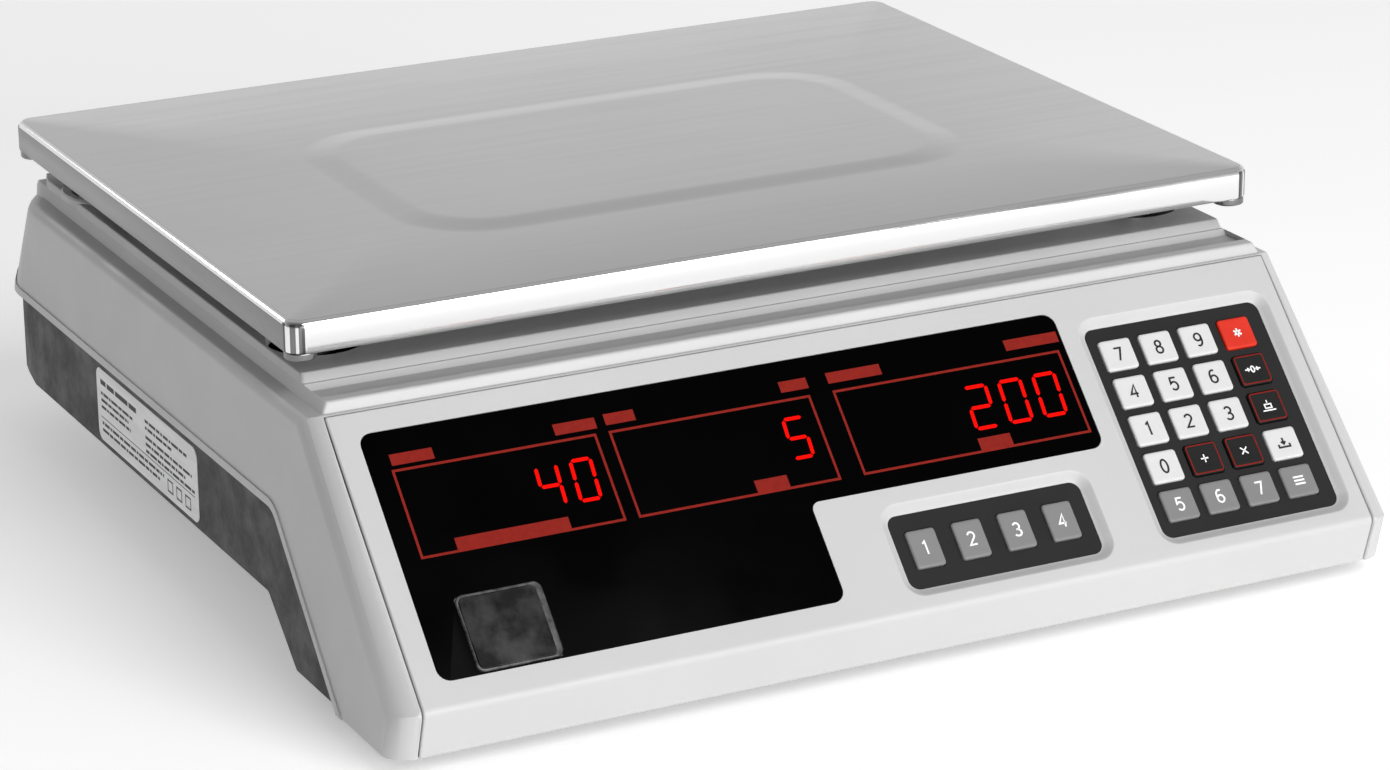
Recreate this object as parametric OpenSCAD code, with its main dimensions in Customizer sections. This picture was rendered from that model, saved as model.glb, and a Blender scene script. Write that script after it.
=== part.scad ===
// Retail price scale: a low counter scale with a stainless pan, a sloped operator panel and a
// customer display at the back. X is to the right of the operator, Y to the back and Z up.
// The origin is on the counter, under the middle of the scale. All sizes are in millimetres.

/* [Body] */
// Overall width of the cover at its lower edge
body_w = 350; // [346:1:360]
// Overall depth, from the panel's lower crease to the rear of the base
body_d = 364; // [360:1:372]
// Gap between the counter and the underside of the cover's front
foot_h = 6; // [5:0.5:8]
// Height of the shoulder that the plinth stands on
shoulder_z = 91.6; // [90:0.2:93]
// Height of the plinth that carries the deck
plinth_z = 94.9; // [94:0.1:96]
// Height of the deck under the pan
deck_z = 97.5; // [96.5:0.1:99]
// Wall thickness of the moulded covers
wall = 2.5; // [2:0.1:3]
// Height of the cover's skirt edge along the sides
skirt_z = 55; // [52:0.5:58]
// Height of the raised underside of the base
belly_z = 24.5; // [22:0.5:27]

/* [Operator panel] */
// Slope of the operator panel from the horizontal, in degrees
panel_angle = 45.6; // [44:0.1:47]
// Width of the front fascia
fascia_w = 330.4; // [326:0.2:332]
// Depth of the pockets that the keypads lie in
pocket_d = 2.5; // [2:0.1:3]
// Travel of a key
key_travel = 0.8; // [0.5:0.1:0.9]
// Height of a key above its mat
key_rise = 0.9; // [0.6:0.1:1.2]

/* [Pan] */
// Width of the pan
pan_w = 340; // [336:1:344]
// Depth of the pan
pan_d = 251.5; // [248:0.5:254]
// Height of the pan's top
pan_z = 117.7; // [116:0.1:120]
// Height of the pan's folded rim
pan_rim = 11.3; // [9:0.1:12]
// Sheet thickness of the pan
pan_t = 1; // [0.8:0.1:1.2]
// Distance of the pan's centre behind the middle of the scale
pan_y = 25.8; // [24:0.1:28]

/* [Weighing platform] */
// Sideways distance from the centre to each pan post
post_x = 147; // [140:1:149]
// Front to back distance from the pan's centre to each pan post
post_y = 89; // [84:1:92]
// Length of the load cell
cell_l = 130; // [120:1:140]
// Width of the load cell
cell_w = 30; // [28:1:34]
// Height of the load cell
cell_h = 22; // [20:1:25]

/* [Feet] */
// Radius of a foot's rubber pad
foot_r = 12; // [10:0.5:13]
// Radius of a foot's threaded stud
stud_r = 4; // [3:0.5:4]

/* [Hidden] */
KEYS = ["key_7", "key_8", "key_9", "key_star",
        "key_4", "key_5", "key_6", "key_zero_set",
        "key_1", "key_2", "key_3", "key_tare",
        "key_0", "key_add", "key_clear", "key_save",
        "key_m5", "key_m6", "key_m7", "key_func"];
MEMORY_KEYS = ["key_m1", "key_m2", "key_m3", "key_m4"];
FEET = ["foot_front_left", "foot_front_right", "foot_rear_left", "foot_rear_right"];

$fn = 32;
eps = 0.01;
fit = 0.3;                       // gap between moulded pieces
shaft_fit = 0.06;                // radial clearance of a stud, screw or pivot
front_y = -body_d / 2;
rear_y = body_d / 2;
half_w = body_w / 2;

// Operator panel: top edge, crease and lower edge of the sloped front, as [y, z]
panel_top = [front_y + 68.3, 91.3];
crease = [front_y, panel_top[1] - 68.3 * tan(panel_angle)];
front_low = [front_y + 4.7, foot_h];
// Where the panel's slope meets the shoulder's height
panel_head = [panel_top[0] + (shoulder_z - panel_top[1]) / tan(panel_angle), shoulder_z];
lip_y = panel_top[0] + 1.4;

// Rear wall of the cover and of the base, as [y, z], and the wall's lean from upright
rear_shoulder = [[rear_y - 30, shoulder_z], [rear_y - 26, shoulder_z - 1.2],
                 [rear_y - 24, shoulder_z - 3]];
rear_low = [rear_y - 10, 60];
base_rear = [rear_y, 31.7];
rear_lean = atan2(rear_low[0] - rear_shoulder[2][0], rear_shoulder[2][1] - rear_low[1]);

// Panel layout, in millimetres right of the middle and down from the panel's top edge
glass_left = -157.2;
glass_right = 81.9;
glass_notch_x = -23.3;
glass_top = 7.7;
glass_mid = 55.6;
glass_low = 88.7;
glass_t = 1.5;
window_x = [-145, -117];
window_s = [63.5, 88.2];
keypad_x = [91.4, 157.3];
keypad_s = [14.8, 89.4];
digit_ss = [21, 49];
digit_xs = [[-147, -87], [-77, -15], [1, 77]];
memory_x = [0.2, 69.2];
memory_s = [64.3, 89.4];
key_cols = [for (c = [0:3]) 100.9 + 15 * c];
key_rows = [for (r = [0:4]) 25 + 13.47 * r];
key_size = [11.7, 10.8];
memory_cols = [for (c = [0:3]) 9.8 + 16.23 * c];
memory_row = 76.6;
memory_size = [10.3, 12.8];
mat_t = 1.2;
tub_t = 1.5;
flange_t = 1.2;
flange_out = 0.9;
board_t = 1.6;
key_bottom = pocket_d + mat_t + tub_t;        // depth at which a key's flange starts
board_depth = key_bottom + flange_t + key_travel + 0.2;

// Weighing platform levels, from the base's floor up
base_floor = 3;
floor_z = belly_z + base_floor;
cell_z = floor_z + 8;
cell_top = cell_z + cell_h;
spider_z = cell_top + 6;
spider_t = 4;
cushion_t = 3;
cushion_top = pan_z - pan_t;
bolt_r = 3;
bolt_xs = [45, 58];
deck_hole_r = 15;

// Base: levels, feet, battery, level, main board and cover screws
base_half = half_w - 3;
foot_at = [[-145, -140], [145, -140], [-130, 130], [130, 130]];
boss_r = 14;
stud_top = foot_h + 18;
door = [104, 73];
door_y = 119;
battery_size = [101, 70, 47];
level_at = [-131, front_y + 25];
level_z = foot_h + 12;
board_at = [-30, front_y + 50];
board_z = foot_h + 8;
screw_at = [[-155, 72], [155, 72], [-155, -30], [155, -30]];
screw_split = 45;

// Side profile of the base's inner tray, anticlockwise seen from +X
tray_side = [[front_y + 14, foot_h], [front_y + 82.3, foot_h], [front_y + 103.6, belly_z],
             [rear_y - 30, belly_z], [rear_y - 3, base_rear[1]], [rear_low[0] - 3.2, 59.8],
             [rear_low[0] - 6.1, 66], [front_y + 89, 61], [front_y + 39, foot_h + 6],
             [front_y + 14, foot_h + 6]];
// Side profile of the base's visible band, below the skirt's edge
band_side = [[front_y + 44.2, foot_h], tray_side[1], tray_side[2], tray_side[3], base_rear,
             rear_low + [-0.7, -fit], [rear_y - 19.9, rear_low[1] - fit],
             [rear_y - 27.9, skirt_z - fit], [front_y + 94, skirt_z - fit]];

// Right-hand side fittings
inlet_y = 95;
switch_y = 50;
fitting_z = 41;
rocker_tilt = 10;
rocker_pivot_x = base_half - 5;
pivot_r = 1.5;

// Line and polygon helpers. A polygon runs anticlockwise, and its inset moves each edge inwards
// by its own distance.
function cross2(a, b) = a[0] * b[1] - a[1] * b[0];
function inward(a, b) = [a[1] - b[1], b[0] - a[0]] / norm(b - a);
function line_cross(p, d, q, e) = p + d * (cross2(q - p, e) / cross2(d, e));
function inset(pts, dist) = [
    for (i = [0:len(pts) - 1])
        let (n = len(pts), a = pts[(i + n - 1) % n], b = pts[i], c = pts[(i + 1) % n],
             p = a + inward(a, b) * dist[(i + n - 1) % n],
             q = b + inward(b, c) * dist[i])
        line_cross(p, b - a, q, c - b)];
function at_height(a, b, z) = a + (b - a) * ((z - a[1]) / (b[1] - a[1]));

// Side profile of the closed cover, anticlockwise seen from +X, down to a given height
function cover_side(low) = concat(
    [at_height(front_low, crease, low), at_height(rear_low, rear_shoulder[2], low)],
    [rear_shoulder[2], rear_shoulder[1], rear_shoulder[0], panel_head, crease]);
// Front profile, with drafted side walls and a sloped shoulder
function cover_front(low) =
    let (hip = [half_w - 2.7, shoulder_z - 3], foot = [half_w, foot_h],
         side = at_height(hip, foot, low),
         right = [side, hip, [half_w - 4.6, shoulder_z - 1.2], [half_w - 9.5, shoulder_z]])
    concat(right, [for (i = [3:-1:0]) [-right[i][0], right[i][1]]]);
// Plan outline with the corners drawn in towards the rear
function plan(w, front, rear) =
    let (right = [[w, front], [w, rear - 44], [w - 3, rear - 26], [w - 9, rear - 10],
                  [w - 16, rear]])
    concat(right, [for (i = [4:-1:0]) [-right[i][0], right[i][1]]]);

module along_x(pts, w) {
    rotate([90, 0, 90])
        linear_extrude(height = w, center = true)
            polygon(pts);
}
module along_y(pts, d) {
    rotate([90, 0, 0])
        linear_extrude(height = d, center = true)
            polygon(pts);
}
module block(lo, hi) {
    translate(lo)
        cube(hi - lo);
}
// Flat plate with round corners, exact arcs
module round_plate(lo, hi, r, h) {
    translate([lo[0] + r, lo[1], 0])
        cube([hi[0] - lo[0] - 2 * r, hi[1] - lo[1], h]);
    translate([lo[0], lo[1] + r, 0])
        cube([hi[0] - lo[0], hi[1] - lo[1] - 2 * r, h]);
    for (x = [lo[0] + r, hi[0] - r], y = [lo[1] + r, hi[1] - r])
        translate([x, y, 0])
            cylinder(r = r, h = h);
}
// Flat plate with cut corners, centred
module cut_plate(size, cut, h) {
    x = size[0] / 2;
    y = size[1] / 2;
    linear_extrude(height = h)
        polygon([[x, cut - y], [x, y - cut], [x - cut, y], [cut - x, y],
                 [-x, y - cut], [-x, cut - y], [cut - x, -y], [x - cut, -y]]);
}
// Panel frame: x right, y up the slope from the panel's top edge, z out of the panel
module on_panel() {
    translate([0, panel_top[0], panel_top[1]])
        rotate([panel_angle, 0, 0])
            children();
}
// Plate on the panel, from depth d0 to depth d1 below its surface
module panel_plate(xs, ss, r, d0, d1) {
    on_panel()
        translate([0, 0, -d1])
            round_plate([xs[0], -ss[1]], [xs[1], -ss[0]], r, d1 - d0);
}
// Rear wall frame: x to the left seen from behind, y up the wall, z out of the wall
module on_rear() {
    translate([0, rear_low[0], rear_low[1]])
        rotate([90 - rear_lean, 0, 180])
            children();
}

// Closed block of the cover, inset by t, and by front_t at the sloped front
module cover_block(t, front_t, low) {
    side = cover_side(low);
    front = cover_front(low);
    outline = plan(half_w, front_y - 5, rear_y);
    intersection() {
        along_x(inset(side, [0, t, t, t, t, front_t, front_t]), body_w + 10);
        along_y(inset(front, [t, t, t, t, t, t, t, 0]), body_d + 20);
        linear_extrude(height = pan_z)
            polygon(inset(outline, [t, t, t, t, t, t, t, t, t, 0]));
    }
}
// What lies below the skirt's edge
module below_skirt() {
    along_x([[panel_top[0] - 24.7, 0], [panel_top[0] - 24.7, foot_h],
             [panel_top[0] + 25.5, skirt_z], [rear_y - 28, skirt_z],
             [rear_y - 20, rear_low[1]], [rear_y + 20, rear_low[1]], [rear_y + 20, 0]],
            body_w + 20);
}
module cover_plinth() {
    intersection() {
        along_x([[lip_y, shoulder_z - 1], [lip_y, shoulder_z], [lip_y + 1, plinth_z - 0.6],
                 [lip_y + 2.1, plinth_z], [rear_y - 34, plinth_z], [rear_y - 31, shoulder_z],
                 [rear_y - 31, shoulder_z - 1]], body_w);
        along_y([[fascia_w / 2 + 0.3, shoulder_z - 1], [fascia_w / 2 + 0.3, shoulder_z],
                 [fascia_w / 2 - 1.5, plinth_z], [1.5 - fascia_w / 2, plinth_z],
                 [-fascia_w / 2 - 0.3, shoulder_z], [-fascia_w / 2 - 0.3, shoulder_z - 1]],
                body_d);
        linear_extrude(height = pan_z)
            polygon([[170, front_y], [170, rear_y - 48], [161, rear_y - 26],
                     [-161, rear_y - 26], [-170, rear_y - 48], [-170, front_y]]);
    }
}
module cover_deck() {
    deck_front = front_y + 86.3;
    intersection() {
        along_x([[deck_front, shoulder_z], [deck_front + 5.2, deck_z],
                 [rear_y - 36, deck_z], [rear_y - 34, shoulder_z]], body_w);
        along_y([[164.2, shoulder_z], [163.5, deck_z], [-163.5, deck_z],
                 [-164.2, shoulder_z]], body_d);
        linear_extrude(height = pan_z)
            polygon([[166, front_y], [166, rear_y - 50], [159, rear_y - 30],
                     [-159, rear_y - 30], [-166, rear_y - 50], [-166, front_y]]);
    }
}
// Slot in the cover's front that the fascia fills
module fascia_slot() {
    inner = fascia_inner(wall + 0.02);
    along_x([[front_y - 8, foot_h - 10], at_height(inner[0], inner[1], foot_h - 10),
             inner[1], inner[2],
             panel_top + [-6 * sin(panel_angle), 6 * cos(panel_angle)],
             [front_y - 8, panel_top[1]]], fascia_w + 2 * fit);
}
// Outside of the cover, with its plinth, deck and the two collars at the back
module cover_outside() {
    difference() {
        cover_block(0, 0, foot_h);
        below_skirt();
    }
    cover_plinth();
    cover_deck();
    for (side = [-1, 1])
        translate([side * post_x, pan_y + post_y, deck_z - 1])
            cylinder(r = deck_hole_r + 3.5, h = 2.2);
}
module top_cover() {
    color("gainsboro") {
        for (p = screw_at)
            cover_post(p);
        difference() {
            cover_outside();
            cover_block(wall, 2 * wall, foot_h - 10);
            // Hollow under the deck
            block([wall - 163, front_y + 92, 60], [163 - wall, rear_y - 42, deck_z - wall]);
            // Gutter between the lip and the deck
            block([-163.6, lip_y + 5.5, plinth_z - 1.8],
                  [163.6, front_y + 86.6, plinth_z + 5]);
            fascia_slot();
            on_panel()
                block([5 - fascia_w / 2, -94, -30], [fascia_w / 2 - 5, -6, 5]);
            for (sx = [-1, 1], sy = [-1, 1])
                translate([sx * post_x, pan_y + sy * post_y, deck_z - 10])
                    cylinder(r = deck_hole_r, h = 20);
            // Pocket and opening of the customer display
            rear_plate([-112 - fit / 2, 112 + fit / 2], [5 - fit / 2, 25 + fit / 2], 3,
                       -5, glass_t);
            rear_plate([-106, 106], [8, 22], 2, -5, 20);
        }
    }
}
// Bent front plate: sloped panel and the narrow upright face below it
module front_fascia() {
    inner = fascia_inner(wall - 0.05);
    gap = 0.15 * [-cos(panel_angle), -sin(panel_angle)];
    color("gainsboro")
        difference() {
            union() {
                along_x([front_low, crease, panel_top + gap, inner[2] + gap, inner[1],
                         inner[0]], fascia_w);
                panel_plate(keypad_x + [-tub_t, tub_t], keypad_s + [-tub_t, tub_t], 4.5,
                            wall / 2, key_bottom);
                panel_plate(memory_x + [-tub_t, tub_t], memory_s + [-tub_t, tub_t], 4.5,
                            wall / 2, key_bottom);
            }
            glass_plate(fit / 2, -5, glass_t);
            panel_plate(keypad_x, keypad_s, 3, -5, pocket_d + mat_t);
            panel_plate(memory_x, memory_s, 3, -5, pocket_d + mat_t);
            for (xs = digit_xs)
                panel_plate(xs + [-0.5, 0.5], digit_ss + [-0.5, 0.5], 1, -5, 12);
            panel_plate(window_x + [2, -2], window_s + [2, -5], 2, -5, 12);
            keypad_cuts();
            memory_cuts();
        }
}
// Inner line of the fascia's bent plate, t below its surface: low end, crease and top end
function fascia_inner(t) =
    let (slope_in = [sin(panel_angle), -cos(panel_angle)],
         low_in = inward(crease, front_low),
         low = front_low + low_in * t, top = panel_top + slope_in * t)
    [at_height(low, low + crease - front_low, foot_h),
     line_cross(low, crease - front_low, top, panel_top - crease), top];

// L-shaped glass outline on the panel, grown by g
module glass_plate(g, d0, d1) {
    panel_plate([glass_left - g, glass_right + g], [glass_top - g, glass_mid + g], 4, d0, d1);
    panel_plate([glass_left - g, glass_notch_x + g], [glass_top - g, glass_low + g], 4, d0, d1);
}
module display_lens() {
    color([0.02, 0.02, 0.02])
        difference() {
            glass_plate(0, 0, glass_t);
            panel_plate(window_x + [-0.1, 0.1], window_s + [-0.1, 0.1], 2, -1, glass_t + 1);
        }
}
module level_window() {
    color([0.25, 0.27, 0.27])
        panel_plate(window_x, window_s, 2, -1, glass_t);
}
module spirit_level() {
    color("palegreen")
        translate([level_at[0], level_at[1], level_z])
            difference() {
                cylinder(r = 9, h = 8);
                translate([0, 0, 2])
                    cylinder(r = 6.5, h = 4.5);
            }
}
// Three blocks of digits, soldered to the board behind the glass
module front_digits() {
    color("white")
        for (xs = digit_xs)
            panel_plate(xs, digit_ss, 0.6, glass_t + 0.1, 9.6);
}
module display_board() {
    color("darkgreen")
        panel_plate([-152, 80], [12, 54], 2, 9.6, 9.6 + board_t);
}
// Calls its children at each key of a pad
module at_keys(cols, rows, count) {
    on_panel()
        for (i = [0:count - 1])
            translate([cols[i % len(cols)], -rows[floor(i / len(cols))], 0])
                children();
}
module keypad_cuts() {
    at_keys(key_cols, key_rows, len(KEYS))
        translate([0, 0, -key_bottom - 1])
            cut_plate(key_size + [fit * 2, fit * 2], 1, key_bottom + 1);
}
module memory_cuts() {
    at_keys(memory_cols, [memory_row], len(MEMORY_KEYS))
        translate([0, 0, -key_bottom - 1])
            cut_plate(memory_size + [fit * 2, fit * 2], 1, key_bottom + 1);
}
module keypad_mat() {
    color([0.2, 0.2, 0.2])
        difference() {
            panel_plate(keypad_x + [0.1, -0.1], keypad_s + [0.1, -0.1], 2.9,
                        pocket_d, pocket_d + mat_t);
            keypad_cuts();
        }
}
module memory_mat() {
    color([0.2, 0.2, 0.2])
        difference() {
            panel_plate(memory_x + [0.1, -0.1], memory_s + [0.1, -0.1], 2.9,
                        pocket_d, pocket_d + mat_t);
            memory_cuts();
        }
}
// One key: a cap that stands above the mat, on a flange that keeps it in
module key(size) {
    translate([0, 0, -key_bottom]) {
        translate([0, 0, -flange_t])
            cut_plate(size + 2 * [flange_out, flange_out], 1, flange_t);
        cut_plate(size, 1, key_bottom - pocket_d + key_rise);
    }
}
module keypad_key(i) {
    shade = KEYS[i] == "key_star" ? "tomato"
        : i % 4 == 3 && i < 12 || i == 13 || i == 14 ? "black"
        : i >= 16 ? "gray" : "whitesmoke";
    color(shade)
        on_panel()
            translate([key_cols[i % 4], -key_rows[floor(i / 4)], 0])
                key(key_size);
}
module memory_key(i) {
    color("gray")
        on_panel()
            translate([memory_cols[i], -memory_row, 0])
                key(memory_size);
}
module keypad_board() {
    color("darkgreen")
        difference() {
            panel_plate([memory_x[0] - 1, keypad_x[1] + 1], [keypad_s[0] - 1, keypad_s[1] + 1],
                        2, board_depth, board_depth + board_t);
            // Cut away behind the display
            on_panel()
                block([memory_x[0] - 2, -60, -20], [glass_right + 3, 0, 0]);
        }
}
// Plate on the rear wall, from depth d0 to depth d1 below its surface
module rear_plate(xs, ss, r, d0, d1) {
    on_rear()
        translate([0, 0, -d1])
            round_plate([xs[0], ss[0]], [xs[1], ss[1]], r, d1 - d0);
}
module rear_lens() {
    color([0.02, 0.02, 0.02])
        rear_plate([-112, 112], [5, 25], 3, 0, glass_t);
}
module rear_digits() {
    color("white")
        for (x = [-70, 0, 70])
            rear_plate([x - 30, x + 30], [9, 21], 0.6, glass_t + 0.1, 8.6);
}
module rear_display_board() {
    color("darkgreen")
        rear_plate([-104, 104], [6, 24], 2, 8.6, 8.6 + board_t);
}
module base_tray() {
    tray_half = base_half - 1.6;
    cavity = inset(tray_side, [wall, wall, base_floor, base_floor, wall, wall,
                               -20, -20, -20, wall]);
    color([0.22, 0.22, 0.23])
        difference() {
            union() {
                difference() {
                    union() {
                        intersection() {
                            along_x(tray_side, body_w);
                            linear_extrude(height = pan_z)
                                polygon(plan(tray_half, front_y, rear_y - 2));
                        }
                        intersection() {
                            along_x(band_side, body_w);
                            linear_extrude(height = pan_z)
                                polygon(plan(base_half, front_y, rear_y));
                        }
                    }
                    intersection() {
                        along_x(cavity, body_w);
                        linear_extrude(height = pan_z)
                            polygon(plan(tray_half - wall, front_y, rear_y - 4));
                    }
                }
                for (p = foot_at)
                    translate([p[0], p[1], foot_h])
                        cylinder(r = boss_r, h = (p[1] < 0 ? foot_h + 10 : floor_z) - foot_h);
                for (p = screw_at)
                    translate([p[0], p[1], belly_z])
                        cylinder(r = 6, h = screw_split - 0.1 - belly_z);
                translate([level_at[0], level_at[1], foot_h + 1])
                    cylinder(r = 10, h = level_z - foot_h - 1);
                for (sx = [-1, 1], sy = [-1, 1])
                    translate([board_at[0] + 65 * sx, board_at[1] + 18 * sy, foot_h + 1])
                        cylinder(r = 3.5, h = board_z - foot_h - 1);
            }
            for (p = foot_at)
                translate([p[0], p[1], 0])
                    cylinder(r = stud_r + shaft_fit, h = 60);
            // Screw holes with deep counterbores
            for (p = screw_at)
                translate([p[0], p[1], 0]) {
                    cylinder(r = 4.2, h = screw_split - 8);
                    cylinder(r = 2 + shaft_fit, h = screw_split + 5);
                }
            for (x = bolt_xs)
                translate([-x, pan_y, 0])
                    cylinder(r = bolt_r + shaft_fit, h = 40);
            // Recess and opening of the battery door
            translate([0, door_y, belly_z - 5]) {
                linear_extrude(height = 7)
                    square([door[0] + 4.4, door[1] + 4.4], center = true);
                linear_extrude(height = 20)
                    square([door[0] - 1, door[1] - 1], center = true);
            }
            block([base_half - 8, inlet_y - 12.3, fitting_z - 8.8],
                  [base_half + 5, inlet_y + 12.3, fitting_z + 8.8]);
            block([base_half - 8, switch_y - 10.3, fitting_z - 6.7],
                  [base_half + 5, switch_y + 10.3, fitting_z + 6.7]);
        }
}
module cover_post(p) {
    translate([p[0], p[1], screw_split])
        difference() {
            cylinder(r = 5, h = deck_z - 1 - screw_split);
            translate([0, 0, -1])
                cylinder(r = 2 + shaft_fit, h = 16);
        }
}
module cover_screws() {
    color("silver")
        for (p = screw_at)
            translate([p[0], p[1], screw_split - 8]) {
                translate([0, 0, -2.5])
                    cylinder(r = 3.8, h = 2.5);
                cylinder(r = 2, h = 20);
            }
}
module rating_label() {
    color("lightgray")
        block([-base_half - 0.2, -21, 26.5], [-base_half, 72, 52]);
}
module battery_door() {
    color([0.22, 0.22, 0.23])
        translate([0, door_y, belly_z])
            linear_extrude(height = 1.9)
                square([door[0] + 4, door[1] + 4], center = true);
}
module battery() {
    color([0.3, 0.32, 0.36])
        translate([0, door_y, belly_z + 2])
            linear_extrude(height = battery_size[2])
                square([battery_size[0], battery_size[1]], center = true);
}
module transformer() {
    color("peru")
        translate([81, 115, floor_z]) {
            block([-21, -12, 0], [21, 12, 33]);
            block([-13, -19, 7], [13, 19, 27]);
        }
}
module main_board() {
    color("darkgreen")
        translate([board_at[0], board_at[1], board_z]) {
            block([-70, -23, 0], [70, 23, board_t]);
            block([-20, -8, board_t - eps], [-4, 8, board_t + 2.2]);
            block([30, -10, board_t - eps], [42, 10, board_t + 10]);
            block([-60, 12, board_t - eps], [-20, 20, board_t + 7]);
        }
}
module mains_inlet() {
    flange_x = base_half + 1.5;
    color([0.1, 0.1, 0.1])
        translate([0, inlet_y, fitting_z]) {
            difference() {
                union() {
                    block([base_half - 20, -12, -8.5], [base_half, 12, 8.5]);
                    block([base_half, -15, -11], [flange_x, 15, 11]);
                }
                for (s = [-4.3, 4.3])
                    translate([flange_x - 10, s, 0])
                        rotate([0, 90, 0])
                            cylinder(r = 4.3, h = 12);
                block([flange_x - 10, -4.3, -4.3], [flange_x + 2, 4.3, 4.3]);
            }
            for (s = [-4.3, 4.3])
                translate([flange_x - 11, s, 0])
                    rotate([0, 90, 0])
                        cylinder(r = 1.15, h = 9);
        }
}
module switch_housing() {
    color([0.1, 0.1, 0.1])
        translate([0, switch_y, fitting_z])
            difference() {
                union() {
                    block([base_half - 16, -10, -6.4], [base_half, 10, 6.4]);
                    block([base_half, -12, -8], [base_half + 1.5, 12, 8]);
                }
                block([base_half - 13, -8.8, -5.2], [base_half + 2, 8.8, 5.2]);
                translate([rocker_pivot_x, 0, -6])
                    cylinder(r = pivot_r + shaft_fit, h = 12);
            }
}
module switch_rocker() {
    color([0.1, 0.1, 0.1])
        translate([rocker_pivot_x, switch_y, fitting_z])
            rotate([0, 0, -rocker_tilt]) {
                translate([0, 0, -4.9])
                    linear_extrude(height = 9.8)
                        polygon([[-3, -6], [6.2, -7.4], [5, 0], [6.2, 7.4], [-3, 6]]);
                translate([0, 0, -5.9])
                    cylinder(r = pivot_r, h = 11.8);
            }
}
// Bending-beam load cell: fixed at its left end, loaded at its right end
module load_cell() {
    color("silver")
        difference() {
            block([-cell_l / 2, pan_y - cell_w / 2, cell_z],
                  [cell_l / 2, pan_y + cell_w / 2, cell_top]);
            for (s = [-13, 13])
                translate([s, pan_y + cell_w, cell_z + cell_h / 2])
                    rotate([90, 0, 0])
                        cylinder(r = 8.5, h = 2 * cell_w);
            block([-13, pan_y - cell_w, cell_z + cell_h / 2 - 4],
                  [13, pan_y + cell_w, cell_z + cell_h / 2 + 4]);
            for (x = bolt_xs) {
                translate([-x, pan_y, cell_z - 1])
                    cylinder(r = bolt_r + shaft_fit, h = 16);
                translate([x, pan_y, cell_top - 15])
                    cylinder(r = bolt_r + shaft_fit, h = 16);
            }
        }
}
module bolt_block(side, low, high) {
    difference() {
        block([side * 50 - 14, pan_y - cell_w / 2, low], [side * 50 + 14, pan_y + cell_w / 2, high]);
        for (x = bolt_xs)
            translate([side * x, pan_y, low - 1])
                cylinder(r = bolt_r + shaft_fit, h = high - low + 2);
    }
}
module cell_foot_block() {
    color("silver")
        bolt_block(-1, floor_z, cell_z);
}
module cell_top_block() {
    color("silver")
        bolt_block(1, cell_top, spider_z);
}
module cell_bolts() {
    color("dimgray")
        for (x = bolt_xs)
            translate([-x, pan_y, belly_z - 2.5]) {
                cylinder(r = 5.2, h = 2.5);
                cylinder(r = bolt_r, h = 24);
            }
}
module platform_bolts() {
    color("dimgray")
        for (x = bolt_xs)
            translate([x, pan_y, spider_z + spider_t - 20]) {
                cylinder(r = bolt_r, h = 20);
                translate([0, 0, 20])
                    cylinder(r = 5.2, h = 3);
            }
}
module platform_spider() {
    arm = norm([post_x, post_y]);
    color("silver")
        difference() {
            translate([0, pan_y, spider_z]) {
                block([-72, -24, 0], [72, 24, spider_t]);
                for (sx = [-1, 1], sy = [-1, 1])
                    rotate([0, 0, atan2(sy * post_y, sx * post_x)])
                        block([30, -10, 0], [arm, 10, spider_t]);
                for (sx = [-1, 1], sy = [-1, 1])
                    translate([sx * post_x, sy * post_y, 0])
                        cylinder(r = 11, h = spider_t);
            }
            for (x = bolt_xs)
                translate([x, pan_y, spider_z - 1])
                    cylinder(r = bolt_r + shaft_fit, h = 10);
        }
}
module pan_posts() {
    color("silver")
        for (sx = [-1, 1], sy = [-1, 1])
            translate([sx * post_x, pan_y + sy * post_y, spider_z + spider_t])
                cylinder(r = 6, h = cushion_top - cushion_t - spider_z - spider_t);
}
module pan_cushions() {
    color([0.15, 0.15, 0.15])
        for (sx = [-1, 1], sy = [-1, 1])
            translate([sx * post_x, pan_y + sy * post_y, cushion_top - cushion_t])
                cylinder(r = 9, h = cushion_t);
}
// Stainless pan: a flat sheet with its rim folded down all round
module pan() {
    lo = [-pan_w / 2, pan_y - pan_d / 2];
    hi = [pan_w / 2, pan_y + pan_d / 2];
    color("lightsteelblue")
        translate([0, 0, pan_z - pan_rim])
            difference() {
                round_plate(lo, hi, 6, pan_rim);
                translate([0, 0, -1])
                    round_plate(lo + [pan_t, pan_t], hi - [pan_t, pan_t], 5,
                                pan_rim - pan_t + 1);
            }
}
// Levelling foot: a rubber pad bonded to a threaded stud
module foot(i) {
    color([0.12, 0.12, 0.12])
        translate([foot_at[i][0], foot_at[i][1], 0]) {
            cylinder(r = foot_r, h = foot_h - 0.5);
            cylinder(r = stud_r, h = stud_top);
        }
}

top_cover();
front_fascia();
display_lens();
level_window();
spirit_level();
display_board();
front_digits();
keypad_mat();
memory_mat();
keypad_board();
rear_lens();
rear_display_board();
rear_digits();
base_tray();
rating_label();
battery_door();
battery();
transformer();
main_board();
mains_inlet();
switch_housing();
switch_rocker();
load_cell();
cell_foot_block();
cell_bolts();
cell_top_block();
platform_spider();
platform_bolts();
pan_posts();
pan_cushions();
pan();
cover_screws();
for (i = [0:len(FEET) - 1])
    foot(i);
for (i = [0:len(KEYS) - 1])
    keypad_key(i);
for (i = [0:len(MEMORY_KEYS) - 1])
    memory_key(i);
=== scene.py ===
"""Looks of the retail price scale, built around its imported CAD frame.

Meshes are made in millimetres in the frame's own axes (X right, Y back, Z up) and scaled to
metres when they become pieces. The operator panel has a frame of its own: x to the right, s down
the slope from the panel's top edge, and h out of the surface.
"""

from contextlib import contextmanager
from math import atan2, cos, pi, radians, sin, tan

import bmesh
import bpy
from mathutils import Matrix, Vector


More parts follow.
